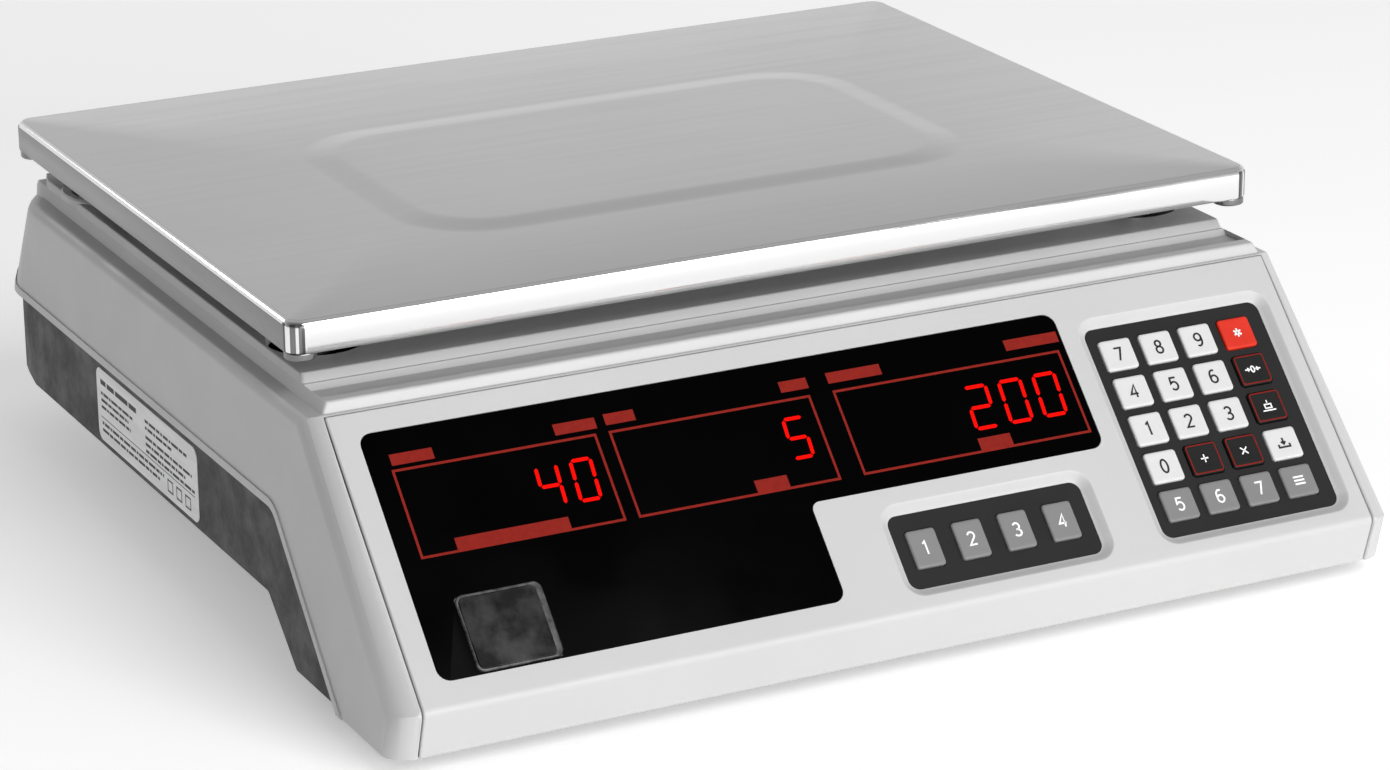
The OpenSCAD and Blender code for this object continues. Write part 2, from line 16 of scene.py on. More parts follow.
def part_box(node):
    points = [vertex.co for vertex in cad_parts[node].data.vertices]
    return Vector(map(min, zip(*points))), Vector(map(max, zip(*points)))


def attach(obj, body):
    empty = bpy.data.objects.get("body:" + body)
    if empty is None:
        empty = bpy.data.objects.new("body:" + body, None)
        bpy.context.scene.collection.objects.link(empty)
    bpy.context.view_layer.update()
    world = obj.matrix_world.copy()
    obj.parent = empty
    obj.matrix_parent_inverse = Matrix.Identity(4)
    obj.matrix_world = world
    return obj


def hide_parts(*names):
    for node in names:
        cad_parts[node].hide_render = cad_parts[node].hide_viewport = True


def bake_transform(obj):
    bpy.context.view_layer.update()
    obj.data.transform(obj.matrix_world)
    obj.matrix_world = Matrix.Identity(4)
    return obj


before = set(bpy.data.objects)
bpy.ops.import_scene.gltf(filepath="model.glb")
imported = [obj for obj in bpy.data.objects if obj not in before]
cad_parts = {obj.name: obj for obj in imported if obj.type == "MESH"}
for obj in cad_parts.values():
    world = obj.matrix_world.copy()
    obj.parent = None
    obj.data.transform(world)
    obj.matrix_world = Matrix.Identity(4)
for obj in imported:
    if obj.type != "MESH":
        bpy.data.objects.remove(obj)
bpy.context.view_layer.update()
MM = 0.001


def box_mm(node):
    lo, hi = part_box(node)
    return lo / MM, hi / MM


# ---- sizes, in millimetres
COVER_LO, COVER_HI = box_mm("top_cover")
PAN_LO, PAN_HI = box_mm("pan")
FRONT_Y = COVER_LO.y
REAR_Y = box_mm("base_tray")[1].y
HALF_W = COVER_HI.x
FOOT_GAP = COVER_LO.z
COLLAR_H = 1.2
DECK_Z = COVER_HI.z - COLLAR_H
PLINTH_Z = DECK_Z - 2.6
SHOULDER_Z = DECK_Z - 5.9
SKIRT_Z = 55.0
WALL = 2.5

PANEL_ANGLE = radians(45.6)
PANEL_TOP = Vector((FRONT_Y + 68.3, SHOULDER_Z - 0.3))
CREASE = Vector((FRONT_Y, PANEL_TOP.y - 68.3 * tan(PANEL_ANGLE)))
FRONT_LOW = Vector((FRONT_Y + 4.7, FOOT_GAP))
REAR_LOW = Vector((REAR_Y - 10, 60.0))
REAR_HIP = Vector((REAR_Y - 24, SHOULDER_Z - 3))
REAR_LEAN = atan2(REAR_LOW.x - REAR_HIP.x, REAR_HIP.y - REAR_LOW.y)
SLOT_HALF = 165.5
FASCIA_HALF = 165.2
LIP_Y = PANEL_TOP.x + 1.4

GLASS_X = (-157.2, 81.9)
GLASS_S = (7.7, 55.6, 88.7)
GLASS_NOTCH = -23.3
GLASS_T = 1.5
WINDOW_X = (-145.0, -117.0)
WINDOW_S = (63.5, 88.2)
POCKETS = (((91.4, 157.3), (14.8, 89.4)), ((0.2, 69.2), (64.3, 89.4)))
POCKET_D = 2.5
MAT_T = 1.2
KEY_TOP = 0.9 - POCKET_D
KEY_FOOT = POCKET_D + MAT_T + 1.5
KEY_SIZE = (11.7, 10.8)
MEMO_SIZE = (10.3, 12.8)
KEYS = ["7", "8", "9", "star", "4", "5", "6", "zero_set", "1", "2", "3", "tare",
        "0", "add", "clear", "save", "m5", "m6", "m7", "func"]
MEMO_KEYS = ["m1", "m2", "m3", "m4"]
POST_X, POST_Y = 147.0, 89.0
PAN_Y = (PAN_LO.y + PAN_HI.y) / 2
POSTS = [(sx * POST_X, PAN_Y + sy * POST_Y) for sx in (-1, 1) for sy in (-1, 1)]
HOLE_R = 15.0
REAR_ROUND = 26
DECK_HALF = 163.6
DECK_FRONT = FRONT_Y + 86.3


# ---- frames to place points in
def along_x(u, v, w):
    return Vector((w, u, v))


def along_y(u, v, w):
    return Vector((u, w, v))


def along_z(u, v, w):
    return Vector((u, v, w))


def on_panel(x, s, h):
    return Vector((x, PANEL_TOP.x - s * cos(PANEL_ANGLE) - h * sin(PANEL_ANGLE),
                   PANEL_TOP.y - s * sin(PANEL_ANGLE) + h * cos(PANEL_ANGLE)))


def on_rear(x, s, h):
    """Rear wall: x to the right seen from the front, s up the wall, h out of it."""
    return Vector((x, REAR_LOW.x - s * sin(REAR_LEAN) + h * cos(REAR_LEAN),
                   REAR_LOW.y + s * cos(REAR_LEAN) + h * sin(REAR_LEAN)))


# ---- mesh tools
def rounded(corners, steps=6):
    """Closed outline through (u, v, radius) corners, each corner an arc of its radius."""
    outline = []
    for i, (u, v, r) in enumerate(corners):
        here = Vector((u, v))
        back = (Vector(corners[i - 1][:2]) - here).normalized()
        on = (Vector(corners[(i + 1) % len(corners)][:2]) - here).normalized()
        half = back.angle(on) / 2
        if r <= 0 or half > 1.56:
            outline.append(here)
            continue
        centre = here + (back + on).normalized() * (r / sin(half))
        start = here + back * (r / tan(half)) - centre
        end = here + on * (r / tan(half)) - centre
        turn = start.angle(end)
        for k in range(steps + 1):
            t = k / steps
            outline.append(centre + (start * sin((1 - t) * turn) + end * sin(t * turn)) / sin(turn))
    return outline


def round_rect(xs, ys, r, steps=6):
    """Rounded rectangle, anticlockwise from its right-hand side."""
    corners = ((xs[1] - r, ys[1] - r, 0), (xs[0] + r, ys[1] - r, 90),
               (xs[0] + r, ys[0] + r, 180), (xs[1] - r, ys[0] + r, 270))
    return [(cx + r * cos(radians(a + 90 * k / steps)), cy + r * sin(radians(a + 90 * k / steps)))
            for cx, cy, a in corners for k in range(steps + 1)]


def inset(span, d, e=None):
    """Span with its ends moved inwards by d, or by d and e."""
    return span[0] + d, span[1] - (d if e is None else e)


def grow(points, d):
    """Polygon with each edge moved outwards by d; the points run anticlockwise."""
    grown = []
    for i, p in enumerate(points):
        p = Vector(p)
        a = (p - Vector(points[i - 1])).normalized()
        b = (Vector(points[(i + 1) % len(points)]) - p).normalized()
        na, nb = Vector((a.y, -a.x)), Vector((b.y, -b.x))
        grown.append(p + (na + nb) * (d / (1 + na.dot(nb))))
    return grown


def loft(rings):
    """Closed skin through rings of equally many points, capped at both ends."""
    bm = bmesh.new()
    layers = [[bm.verts.new(p) for p in ring] for ring in rings]
    count = len(layers[0])
    for low, high in zip(layers, layers[1:]):
        for i in range(count):
            j = (i + 1) % count
            bm.faces.new((low[i], low[j], high[j], high[i]))
    bm.faces.new(layers[0])
    bm.faces.new(layers[-1])
    bmesh.ops.recalc_face_normals(bm, faces=bm.faces)
    return bm


def prism(outline, place, w0, w1):
    return loft([[place(u, v, w) for u, v in outline] for w in (w0, w1)])


def plate(xs, ys, r, low, high, edge, place, steps=6, foot_edge=0.0):
    """Rounded rectangular plate whose upper edge, and lower edge if asked, is an arc."""
    arcs = [(1 - cos(radians(a)), 1 - sin(radians(a))) for a in (0, 30, 60, 90)]
    rings = [(0, low)]
    if foot_edge:
        rings = [(foot_edge * i, low + foot_edge * h) for i, h in reversed(arcs)]
    rings += [(edge * i, high - edge * h) for i, h in arcs]
    return loft([[place(u, v, w) for u, v in
                  round_rect(inset(xs, i), inset(ys, i), max(r - i, 0.05), steps)]
                 for i, w in rings])


def lathe(profile, centre, steps=40):
    """Solid of revolution of (radius, height) points about an upright axis through centre."""
    return loft([[Vector((r * cos(2 * pi * k / steps), r * sin(2 * pi * k / steps), z))
                  + Vector(centre) for k in range(steps)] for r, z in profile])


def merge(parts):
    """One bmesh that holds several separate shells."""
    whole = bmesh.new()
    for part in parts:
        mesh = bpy.data.meshes.new("part")
        part.to_mesh(mesh)
        part.free()
        whole.from_mesh(mesh)
        bpy.data.meshes.remove(mesh)
    return whole


def add_object(name, data):
    made = bpy.data.objects.new(name, data)
    bpy.context.scene.collection.objects.link(made)
    return made


def as_object(bm, name="scratch"):
    mesh = bpy.data.meshes.new(name)
    bm.to_mesh(mesh)
    bm.free()
    return add_object(name, mesh)


@contextmanager
def editing(mesh):
    """The mesh as a bmesh, written back at the end."""
    bm = bmesh.new()
    bm.from_mesh(mesh)
    yield bm
    bm.to_mesh(mesh)
    bm.free()


def modify(obj, kind, **settings):
    step = obj.modifiers.new(kind, kind)
    for name, value in settings.items():
        setattr(step, name, value)


def apply_all(obj):
    graph = bpy.context.evaluated_depsgraph_get()
    mesh = bpy.data.meshes.new_from_object(obj.evaluated_get(graph))
    obj.modifiers.clear()
    obj.data = mesh


def combine(obj, other, operation):
    """Exact boolean of obj with a scratch mesh, which is used up."""
    tool = as_object(other) if isinstance(other, bmesh.types.BMesh) else other
    modify(obj, "BOOLEAN", operation=operation, solver="EXACT", object=tool)
    apply_all(obj)
    bpy.data.objects.remove(tool)


def cut(obj, *others):
    for other in others:
        combine(obj, other, "DIFFERENCE")


def join(obj, *others):
    for other in others:
        combine(obj, other, "UNION")


def tidy_mesh(obj):
    """Joins doubled points, drops loose faces and clears the edges booleans leave in flat faces."""
    with editing(obj.data) as bm:
        bmesh.ops.remove_doubles(bm, verts=bm.verts, dist=0.002)
        loose = [f for f in bm.faces if all(e.is_boundary for e in f.edges)]
        bmesh.ops.delete(bm, geom=loose, context="FACES")
        bmesh.ops.dissolve_limit(bm, angle_limit=radians(0.3), verts=bm.verts, edges=bm.edges)


def edge_bevel(obj, chosen, width):
    """Rounds the edges whose two ends both pass the test chosen."""
    with editing(obj.data) as bm:
        edges = [e for e in bm.edges if len(e.link_faces) == 2
                 and e.calc_face_angle(0) > radians(25) and all(chosen(v.co) for v in e.verts)]
        bmesh.ops.bevel(bm, geom=edges, offset=width, segments=3, profile=0.5, affect="EDGES",
                        offset_type="OFFSET", clamp_overlap=False)


def face_of(place, a, b):
    """Plane through outline points a and b, with the outline's inside on the left of a to b."""
    a, b = Vector(a), Vector(b)
    out = Vector((b.y - a.y, a.x - b.x)).normalized()
    return place(a.x, a.y, 0), place(out.x, out.y, 0)


def plane_between(a, b, share, radius):
    """Plane tangent to the round edge of that radius between planes a and b, share of the way."""
    (pa, na), (pb, nb) = a, b
    turn = na.angle(nb)
    reach_a, reach_b, dot = pa.dot(na) - radius, pb.dot(nb) - radius, na.dot(nb)
    axis = (na * (reach_a - reach_b * dot) + nb * (reach_b - reach_a * dot)) / (1 - dot * dot)
    normal = (na * sin((1 - share) * turn) + nb * sin(share * turn)) / sin(turn)
    return axis + normal * radius, normal


def round_edge(a, b, radius, count):
    """Planes that round the edge between planes a and b."""
    return [plane_between(a, b, (k + 1) / (count + 1), radius) for k in range(count)]


def mirrored(planes):
    flip = Vector((-1, 1, 1))
    return [(point * flip, normal * flip) for point, normal in planes]


def carve(planes, depth=0.0):
    """Convex block with the given planes as its faces, all moved inwards by depth."""
    bm = bmesh.new()
    bmesh.ops.create_cube(bm, size=1200)
    for point, normal in planes:
        made = bmesh.ops.bisect_plane(bm, geom=[*bm.verts, *bm.edges, *bm.faces], dist=1e-5,
                                      plane_co=point - normal * depth, plane_no=normal,
                                      clear_outer=True)
        rim = [g for g in made["geom_cut"] if isinstance(g, bmesh.types.BMEdge)]
        bmesh.ops.edgeloop_fill(bm, edges=rim)
    bmesh.ops.recalc_face_normals(bm, faces=bm.faces)
    return bm


def dress(mesh, *materials):
    mesh.materials.clear()
    for material in materials:
        mesh.materials.append(material)


def piece(source, name, material, body, replaces=(), smooth=35, weighted=True, bend=None):
    """Turns a mesh in millimetres into a piece that rides on a body, or, if bend is given, is baked
    in place on no body; what bend holds is not used.
    """
    obj = as_object(source) if isinstance(source, bmesh.types.BMesh) else source
    obj.name = name
    mesh = obj.data
    mesh.name = name
    with editing(mesh) as bm:
        bmesh.ops.connect_verts_concave(bm, faces=bm.faces)
    mesh.transform(Matrix.Scale(MM, 4))
    dress(mesh, *(material if isinstance(material, list) else [material]))
    for face in mesh.polygons:
        face.use_smooth = True
    mesh.set_sharp_from_angle(angle=radians(smooth))
    if weighted:
        modify(obj, "WEIGHTED_NORMAL", keep_sharp=True)
    if bend:
        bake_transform(obj)
    else:
        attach(obj, body)
    if replaces:
        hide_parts(*replaces)


def printed(source, name, material, body="root"):
    """Thin mark, printed or lit."""
    piece(source, name, material, body, weighted=False)


def refine(node, width, waste=()):
    """Copy of a CAD node in millimetres, less the waste, with its sharp edges rounded."""
    obj = add_object(node + "_copy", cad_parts[node].data.copy())
    obj.data.transform(Matrix.Scale(1 / MM, 4))
    normals = obj.data.attributes.get("custom_normal")
    if normals:
        obj.data.attributes.remove(normals)
    tidy_mesh(obj)
    cut(obj, *waste)
    tidy_mesh(obj)
    modify(obj, "BEVEL", width=width, segments=2, limit_method="ANGLE", angle_limit=radians(40),
           use_clamp_overlap=False, miter_outer="MITER_ARC")
    apply_all(obj)
    return obj


# ---- materials
def add_node(tree, kind, **values):
    """Shader node with values for its input sockets, named with _ for a space."""
    node = tree.nodes.new("ShaderNode" + kind)
    for socket, value in values.items():
        node.inputs[socket.replace("_", " ")].default_value = value
    return node


class Shader:
    """A Principled material and short calls that build its node tree."""

    def __init__(self, name, colour, rough, metal=0.0, shine=0.5):
        self.material = bpy.data.materials.new(name)
        self.material.use_nodes = True
        self.tree = self.material.node_tree
        self.shader = self.tree.nodes["Principled BSDF"]
        self.coords = add_node(self.tree, "TexCoord").outputs["Object"]
        self.height = None
        self.set("Base Color", (*colour, 1))
        self.set("Roughness", rough)
        self.set("Metallic", metal)
        self.set("Specular IOR Level", shine)
        self.material.diffuse_color = (*colour, 1)

    def set(self, socket, value):
        self.shader.inputs[socket].default_value = value

    def link(self, a, b):
        self.tree.links.new(a, b)

    def noise(self, scale, detail=3.0, stretch=(1, 1, 1), rough=0.5):
        """Noise over the object; scale is in cycles a metre."""
        mapping = add_node(self.tree, "Mapping", Scale=stretch)
        self.link(self.coords, mapping.inputs["Vector"])
        tex = add_node(self.tree, "TexNoise", Scale=scale, Detail=detail, Roughness=rough)
        self.link(mapping.outputs["Vector"], tex.inputs["Vector"])
        return tex.outputs["Fac"]

    def ramp(self, fac, low, high, a=0.35, b=0.65):
        """Maps noise to a value or a colour between low and high."""
        node = add_node(self.tree, "MapRange", From_Min=a, From_Max=b)
        self.link(fac, node.inputs["Value"])
        if not isinstance(low, tuple):
            node.inputs["To Min"].default_value = low
            node.inputs["To Max"].default_value = high
            return node.outputs["Result"]
        mix = self.tree.nodes.new("ShaderNodeMix")
        mix.data_type = "RGBA"
        mix.inputs["A"].default_value = (*low, 1)
        mix.inputs["B"].default_value = (*high, 1)
        self.link(node.outputs["Result"], mix.inputs["Factor"])
        return mix.outputs["Result"]

    def vary(self, socket, fac, low, high, a=0.35, b=0.65):
        self.link(self.ramp(fac, low, high, a, b), self.shader.inputs[socket])

    def bump(self, fac, distance, strength=1.0):
        """Adds relief of distance metres; several bumps stack."""
        node = add_node(self.tree, "Bump", Distance=distance, Strength=strength)
        self.link(fac, node.inputs["Height"])
        if self.height:
            self.link(self.height, node.inputs["Normal"])
        self.height = node.outputs["Normal"]
        self.link(self.height, self.shader.inputs["Normal"])


def tone(srgb):
    """Linear value of an sRGB level from 0 to 255."""
    c = srgb / 255
    return c / 12.92 if c <= 0.04045 else ((c + 0.055) / 1.055) ** 2.4


def grey(level):
    return (tone(level),) * 3


def scaled(colour, factor):
    return tuple(min(c * factor, 1) for c in colour)


def moulded(name, level, rough, grain=1800, depth=2e-5, spread=0.02, shine=0.5):
    """Moulded plastic: fine spark-eroded grain, faint flow marks and uneven gloss."""
    s = Shader(name, grey(level), rough, shine=shine)
    s.vary("Base Color", s.noise(14, 4), scaled(grey(level), 1 - spread),
           scaled(grey(level), 1 + spread))
    s.vary("Roughness", s.noise(60, 3), rough - 0.04, rough + 0.05)
    s.bump(s.noise(grain, 2), depth)
    return s.material


def charcoal_plastic():
    """Dark base moulding with a coarse mottled texture."""
    s = Shader("charcoal_plastic", grey(60), 0.62)
    mottle = s.noise(420, 5, rough=0.7)
    s.vary("Base Color", mottle, grey(50), grey(68), 0.3, 0.7)
    s.vary("Roughness", s.noise(90, 4), 0.5, 0.75)
    s.bump(s.noise(700, 4), 1.2e-4, 0.8)
    s.bump(s.noise(2200, 2), 4e-5)
    return s.material


def satin_steel():
    """Satin stainless sheet: fine sideways grain and faint wipe marks."""
    s = Shader("satin_steel", grey(207), 0.22, 1.0)
    s.vary("Base Color", s.noise(7, 3), grey(205), grey(210))
    s.vary("Roughness", s.noise(260, 4, (0.04, 1, 1)), 0.2, 0.24)
    s.bump(s.noise(1500, 3, (0.03, 1, 1)), 1e-6, 0.5)
    return s.material


def rim_steel(name, level, rough):
    """Fold of the pan's rim: polished, with the press's faint waviness."""
    s = Shader(name, grey(level), rough, 1.0)
    s.vary("Roughness", s.noise(120, 4, (0.1, 0.1, 1)), rough - 0.04, rough + 0.05)
    s.bump(s.noise(45, 3, (1, 1, 0.3)), 5e-5, 0.4)
    return s.material


def turned_metal(name, level, rough):
    s = Shader(name, grey(level), rough, 1.0)
    s.vary("Roughness", s.noise(900, 3), rough - 0.06, rough + 0.08)
    s.vary("Base Color", s.noise(25, 3), grey(level - 12), grey(min(level + 8, 250)))
    s.bump(s.noise(1800, 2), 1e-5)
    return s.material


def display_gloss():
    """Black printed window: deep gloss with faint wipe marks."""
    s = Shader("display_gloss", (0.0006, 0.0006, 0.0007), 0.1, shine=0.02)
    s.vary("Roughness", s.noise(30, 4), 0.07, 0.16)
    s.bump(s.noise(25, 2), 8e-6, 0.4)
    return s.material


def smoked_acrylic():
    """Raised smoky window, cloudy in the middle."""
    s = Shader("smoked_acrylic", grey(30), 0.2, shine=0.12)
    s.vary("Base Color", s.noise(70, 7, rough=0.62), grey(12), grey(70), 0.4, 0.75)
    s.vary("Roughness", s.noise(260, 5, rough=0.7), 0.12, 0.42)
    s.bump(s.noise(120, 4), 5e-5, 0.5)
    return s.material


def clear_edge():
    """Bright cut edge of the smoky window."""
    s = Shader("clear_edge", grey(60), 0.18, shine=0.35)
    s.vary("Base Color", s.noise(300, 4), grey(34), grey(84))
    return s.material


def glow(name, colour):
    """Lit digit behind a grained diffuser."""
    s = Shader(name, scaled(colour, 0.2), 0.6, shine=0.0)
    s.set("Emission Color", (*colour, 1))
    s.set("Emission Strength", 1.0)
    s.bump(s.noise(1500, 2), 1e-5)
    return s.material


def ink(name, colour, rough=0.5, shine=0.3):
    """Screen-printed ink, slightly uneven."""
    s = Shader(name, colour, rough, shine=shine)
    s.vary("Base Color", s.noise(500, 3), scaled(colour, 0.92), scaled(colour, 1.06))
    s.bump(s.noise(2500, 2), 5e-6)
    return s.material


def rubber(name, level):
    s = Shader(name, grey(level), 0.82)
    s.vary("Base Color", s.noise(160, 5), grey(level - 8), grey(level + 12))
    s.bump(s.noise(1200, 3), 4e-5)
    return s.material


def board_green():
    s = Shader("board_green", (0.012, 0.09, 0.035), 0.4)
    s.vary("Base Color", s.noise(120, 4), (0.008, 0.06, 0.022), (0.02, 0.13, 0.05))
    s.bump(s.noise(800, 2), 2e-5)
    return s.material


def red_plastic():
    s = Shader("key_red", (tone(205), tone(44), tone(24)), 0.5, shine=0.25)
    s.vary("Base Color", s.noise(90, 3), (tone(200), tone(40), tone(21)),
           (tone(210), tone(48), tone(27)))
    s.bump(s.noise(1400, 2), 1.5e-5)
    return s.material


def label_film():
    s = Shader("label_film", grey(226), 0.35)
    s.vary("Base Color", s.noise(400, 4, (1, 0.1, 1)), grey(220), grey(232))
    s.bump(s.noise(900, 2), 1e-5)
    return s.material


COVER = moulded("cover_abs", 186, 0.42)
KEYCAP = moulded("key_light", 203, 0.5, 1400, 1.5e-5)
KEYGREY = moulded("key_mid", 118, 0.5, 1400, 1.5e-5)
KEYDARK = moulded("key_dark", 20, 0.5, 1400, 1.5e-5, shine=0.2)
MAT = moulded("mat_dark", 30, 0.6, 900, 3e-5, 0.08, shine=0.2)
BLACK = moulded("black_moulding", 32, 0.5, 1500, 2e-5, 0.06)
CHARCOAL = charcoal_plastic()
STEEL = satin_steel()
RIM = rim_steel("bright_steel", 240, 0.12)
# Darker copy of the rim steel, painted shade for the rim's left and right faces; the real rim is
# all one steel
RIM_PAINTED_SHADE = rim_steel("steel_painted_shade", 128, 0.25)
# Darkest copy of the rim steel, painted dark reflection streaks on the rim's round corners
RIM_PAINTED_DARK_REFLECTION = rim_steel("steel_painted_dark_reflection", 96, 0.25)
ZINC = turned_metal("zinc_plate", 175, 0.38)
ALLOY = turned_metal("alloy", 195, 0.42)
DARKSTEEL = turned_metal("dark_steel", 110, 0.4)
GLOSS = display_gloss()
SMOKE = smoked_acrylic()
EDGE = clear_edge()
RUBBER = rubber("rubber_black", 38)
BOARD = board_green()
FRAME_INK = ink("ink_dull_red", (tone(130), tone(33), tone(26)), 0.6, 0.05)
WHITE_INK = ink("ink_white", grey(240))
DARK_INK = ink("ink_dark", grey(34))
LIT = glow("led_red_lit", (1.0, 0.005, 0.003))
RED_KEY = red_plastic()
LABEL = label_film()


# ---- cover
PANEL_FACE = face_of(along_x, PANEL_TOP, CREASE)
FRONT_FACE = face_of(along_x, CREASE, FRONT_LOW)


def cover_planes(side_in, soft=True):
    """The cover's outer faces and round edges; side_in moves its side walls inwards."""
    under = face_of(along_x, (-9, FOOT_GAP), (9, FOOT_GAP))
    top = face_of(along_x, (9, SHOULDER_Z), (-9, SHOULDER_Z))
    rear = face_of(along_x, REAR_LOW, REAR_HIP)
    side = face_of(along_y, (HALF_W - side_in, FOOT_GAP), (HALF_W - 2.7 - side_in, SHOULDER_Z - 3))
    slope = face_of(along_y, (HALF_W - 4.6, SHOULDER_Z - 1.2), (HALF_W - 9.5, SHOULDER_Z))
    middle = [under, top, rear, PANEL_FACE, FRONT_FACE]
    corner = round_edge(side, rear, REAR_ROUND, 9)
    right = [side, slope] + corner
    if soft:
        middle += round_edge(PANEL_FACE, FRONT_FACE, 3, 5) + round_edge(rear, top, 7, 5)
        right += round_edge(slope, side, 4.5, 5) + round_edge(top, slope, 9, 1)
        right += round_edge(PANEL_FACE, side, 9, 9) + round_edge(FRONT_FACE, side, 9, 7)
        right += round_edge(PANEL_FACE, slope, 3, 3) + round_edge(under, side, 1, 2)
        for wall in corner:
            right += round_edge(wall, top, 7, 4)
    return middle + right + mirrored(right)


SKIRT = [(REAR_Y + 40, -20), (REAR_Y + 40, REAR_LOW.y), (REAR_Y - 20, REAR_LOW.y),
         (REAR_Y - 28, SKIRT_Z), (PANEL_TOP.x + 25.5, SKIRT_Z), (PANEL_TOP.x - 24.7, FOOT_GAP),
         (PANEL_TOP.x - 24.7, -20)]


def skirt_prism(extra, x0=-HALF_W - 20, x1=HALF_W + 20):
    radii = [0, 0, 5, 5, 9 + extra, 2.5, 0]
    return prism(rounded([(*p, r) for p, r in zip(grow(SKIRT, extra), radii)]), along_x, x0, x1)


def skirt_bead(sx):
    """Narrow raised band along the skirt's edge on one side."""
    strip = as_object(skirt_prism(2.6, sx * (HALF_W - 9), sx * (HALF_W + 5)))
    cut(strip, skirt_prism(-1.5))
    combine(strip, carve(cover_planes(0.0)), "INTERSECT")
    return strip


def step_block(front, rear, low, high, side, corner, r):
    """Low block on the cover's top; front, rear and side are its faces' outline points."""
    under = face_of(along_x, (-9, low), (9, low))
    top = face_of(along_x, (9, high), (-9, high))
    front, rear = face_of(along_x, *front), face_of(along_x, *rear)
    side, corner = face_of(along_y, *side), face_of(along_z, *corner)
    middle = [under, top, front, rear] + round_edge(top, front, r, 4) + round_edge(top, rear, r, 2)
    turn = round_edge(side, corner, 14, 3)
    right = [side, corner] + turn + round_edge(front, side, 1.5, 3)
    for wall in [side, corner, *turn]:
        right += round_edge(wall, top, 0.8, 3)
    return carve(middle + right + mirrored(right))


def plinth():
    return step_block(((LIP_Y + 1.2, PLINTH_Z), (LIP_Y, SHOULDER_Z)),
                      ((REAR_Y - 31, SHOULDER_Z), (REAR_Y - 34, PLINTH_Z)),
                      SHOULDER_Z - 1.5, PLINTH_Z,
                      ((SLOT_HALF, SHOULDER_Z), (SLOT_HALF - 1.8, PLINTH_Z)),
                      ((170, REAR_Y - 48), (161, REAR_Y - 26)), 1.3)


def deck():
    return step_block(((DECK_FRONT + 5.2, DECK_Z), (DECK_FRONT, SHOULDER_Z)),
                      ((REAR_Y - 34, SHOULDER_Z), (REAR_Y - 36, DECK_Z)),
                      SHOULDER_Z - 1, DECK_Z, ((164.2, SHOULDER_Z), (163.5, DECK_Z)),
                      ((166, REAR_Y - 50), (159, REAR_Y - 30)), 1.3)


def under_deck():
    x, front, rear = DECK_HALF - 0.6 - WALL, DECK_FRONT + 5.7, REAR_Y - 42
    return prism([(x, front), (x, rear), (-x, rear), (-x, front)], along_z, 60, DECK_Z - WALL)


def gutter():
    """Groove between the lip above the panel and the deck."""
    front, low = LIP_Y + 5.5, PLINTH_Z - 1.8
    outline = [(front, low, 0.6), (DECK_FRONT + 0.1, low, 0.4), (DECK_FRONT + 2.2, low + 2.1, 0),
               (DECK_FRONT + 2.2, low + 6.8, 0), (front, low + 6.8, 0)]
    return prism(rounded(outline, 3), along_x, -DECK_HALF, DECK_HALF)


def slot_outline(depth):
    """What lies in front of the fascia's bent plate, depth below its surface."""
    slope_in = Vector((sin(PANEL_ANGLE), -cos(PANEL_ANGLE)))
    low_dir = (FRONT_LOW - CREASE).normalized()
    low_in = Vector((-low_dir.y, low_dir.x))
    top, bend = PANEL_TOP + slope_in * depth, CREASE + slope_in * depth
    low = CREASE + low_in * depth
    # Where the two inner lines meet
    along = (PANEL_TOP - CREASE).normalized()
    t = (low - bend).cross(low_dir) / along.cross(low_dir)
    knee = bend + along * t
    foot = low + low_dir * ((FOOT_GAP - 10 - low.y) / low_dir.y)
    return [(FRONT_Y - 12, FOOT_GAP - 10), foot, knee, top, PANEL_TOP - slope_in * 6,
            (FRONT_Y - 12, PANEL_TOP.y)]


def make_cover():
    cover = as_object(carve(cover_planes(0.5)))
    join(cover, skirt_bead(-1), skirt_bead(1), plinth(), deck())
    r = HOLE_R + 3.5
    for x in (-POST_X, POST_X):
        join(cover, lathe([(r, 0), (r, 1.6), (r - 0.6, 2.2), (r - 2.6, 2.2)],
                          (x, PAN_Y + POST_Y, DECK_Z - 1)))
    cut(cover, carve(cover_planes(0.0, False), WALL + 0.5), under_deck(), skirt_prism(0), gutter())
    # The deck again, because the gutter cuts into its front edge
    join(cover, deck())
    cut(cover, under_deck())
    for x, y in POSTS:
        rise = 12 + (COLLAR_H if y > PAN_Y else 0)
        cut(cover, lathe([(HOLE_R, 0), (HOLE_R, rise - 0.5), (HOLE_R + 0.9, rise + 0.4),
                          (HOLE_R + 0.9, rise + 5)], (x, y, DECK_Z - 12)))
    cut(cover, prism(slot_outline(WALL + 0.02), along_x, -SLOT_HALF, SLOT_HALF))
    x = FASCIA_HALF - 5
    cut(cover, prism(rounded([(-x, 6, 3), (x, 6, 3), (x, 92, 3), (-x, 92, 3)]), on_panel, -30, 5))
    # Pocket and opening of the customer display
    cut(cover, plate((-112.2, 112.2), (4.8, 25.2), 3, -GLASS_T - 0.1, 5, 0.1, on_rear),
        plate((-106, 106), (8, 22), 2, -20, 4, 0.1, on_rear))
    tidy_mesh(cover)

    def on_seam(p):
        outside = max((p - point).dot(normal) for point, normal in (PANEL_FACE, FRONT_FACE))
        return abs(abs(p.x) - SLOT_HALF) < 0.02 and -0.5 < outside < 0.05

    edge_bevel(cover, on_seam, 0.8)
    return cover


# ---- fascia
def pocket_cutter(xs, ss):
    """Pocket with a soft S-shaped edge that runs down to a straight wall."""
    profile = [(3.3, 1.5), (3.3, 0.0), (3.0, -0.1), (2.6, -0.4), (1.9, -0.95), (1.2, -1.55),
               (0.6, -2.05), (0.0, -2.35), (0.0, -POCKET_D - MAT_T)]
    return loft([[on_panel(u, v, h) for u, v in round_rect(inset(xs, -g), inset(ss, -g), 3.6 + g)]
                 for g, h in profile])


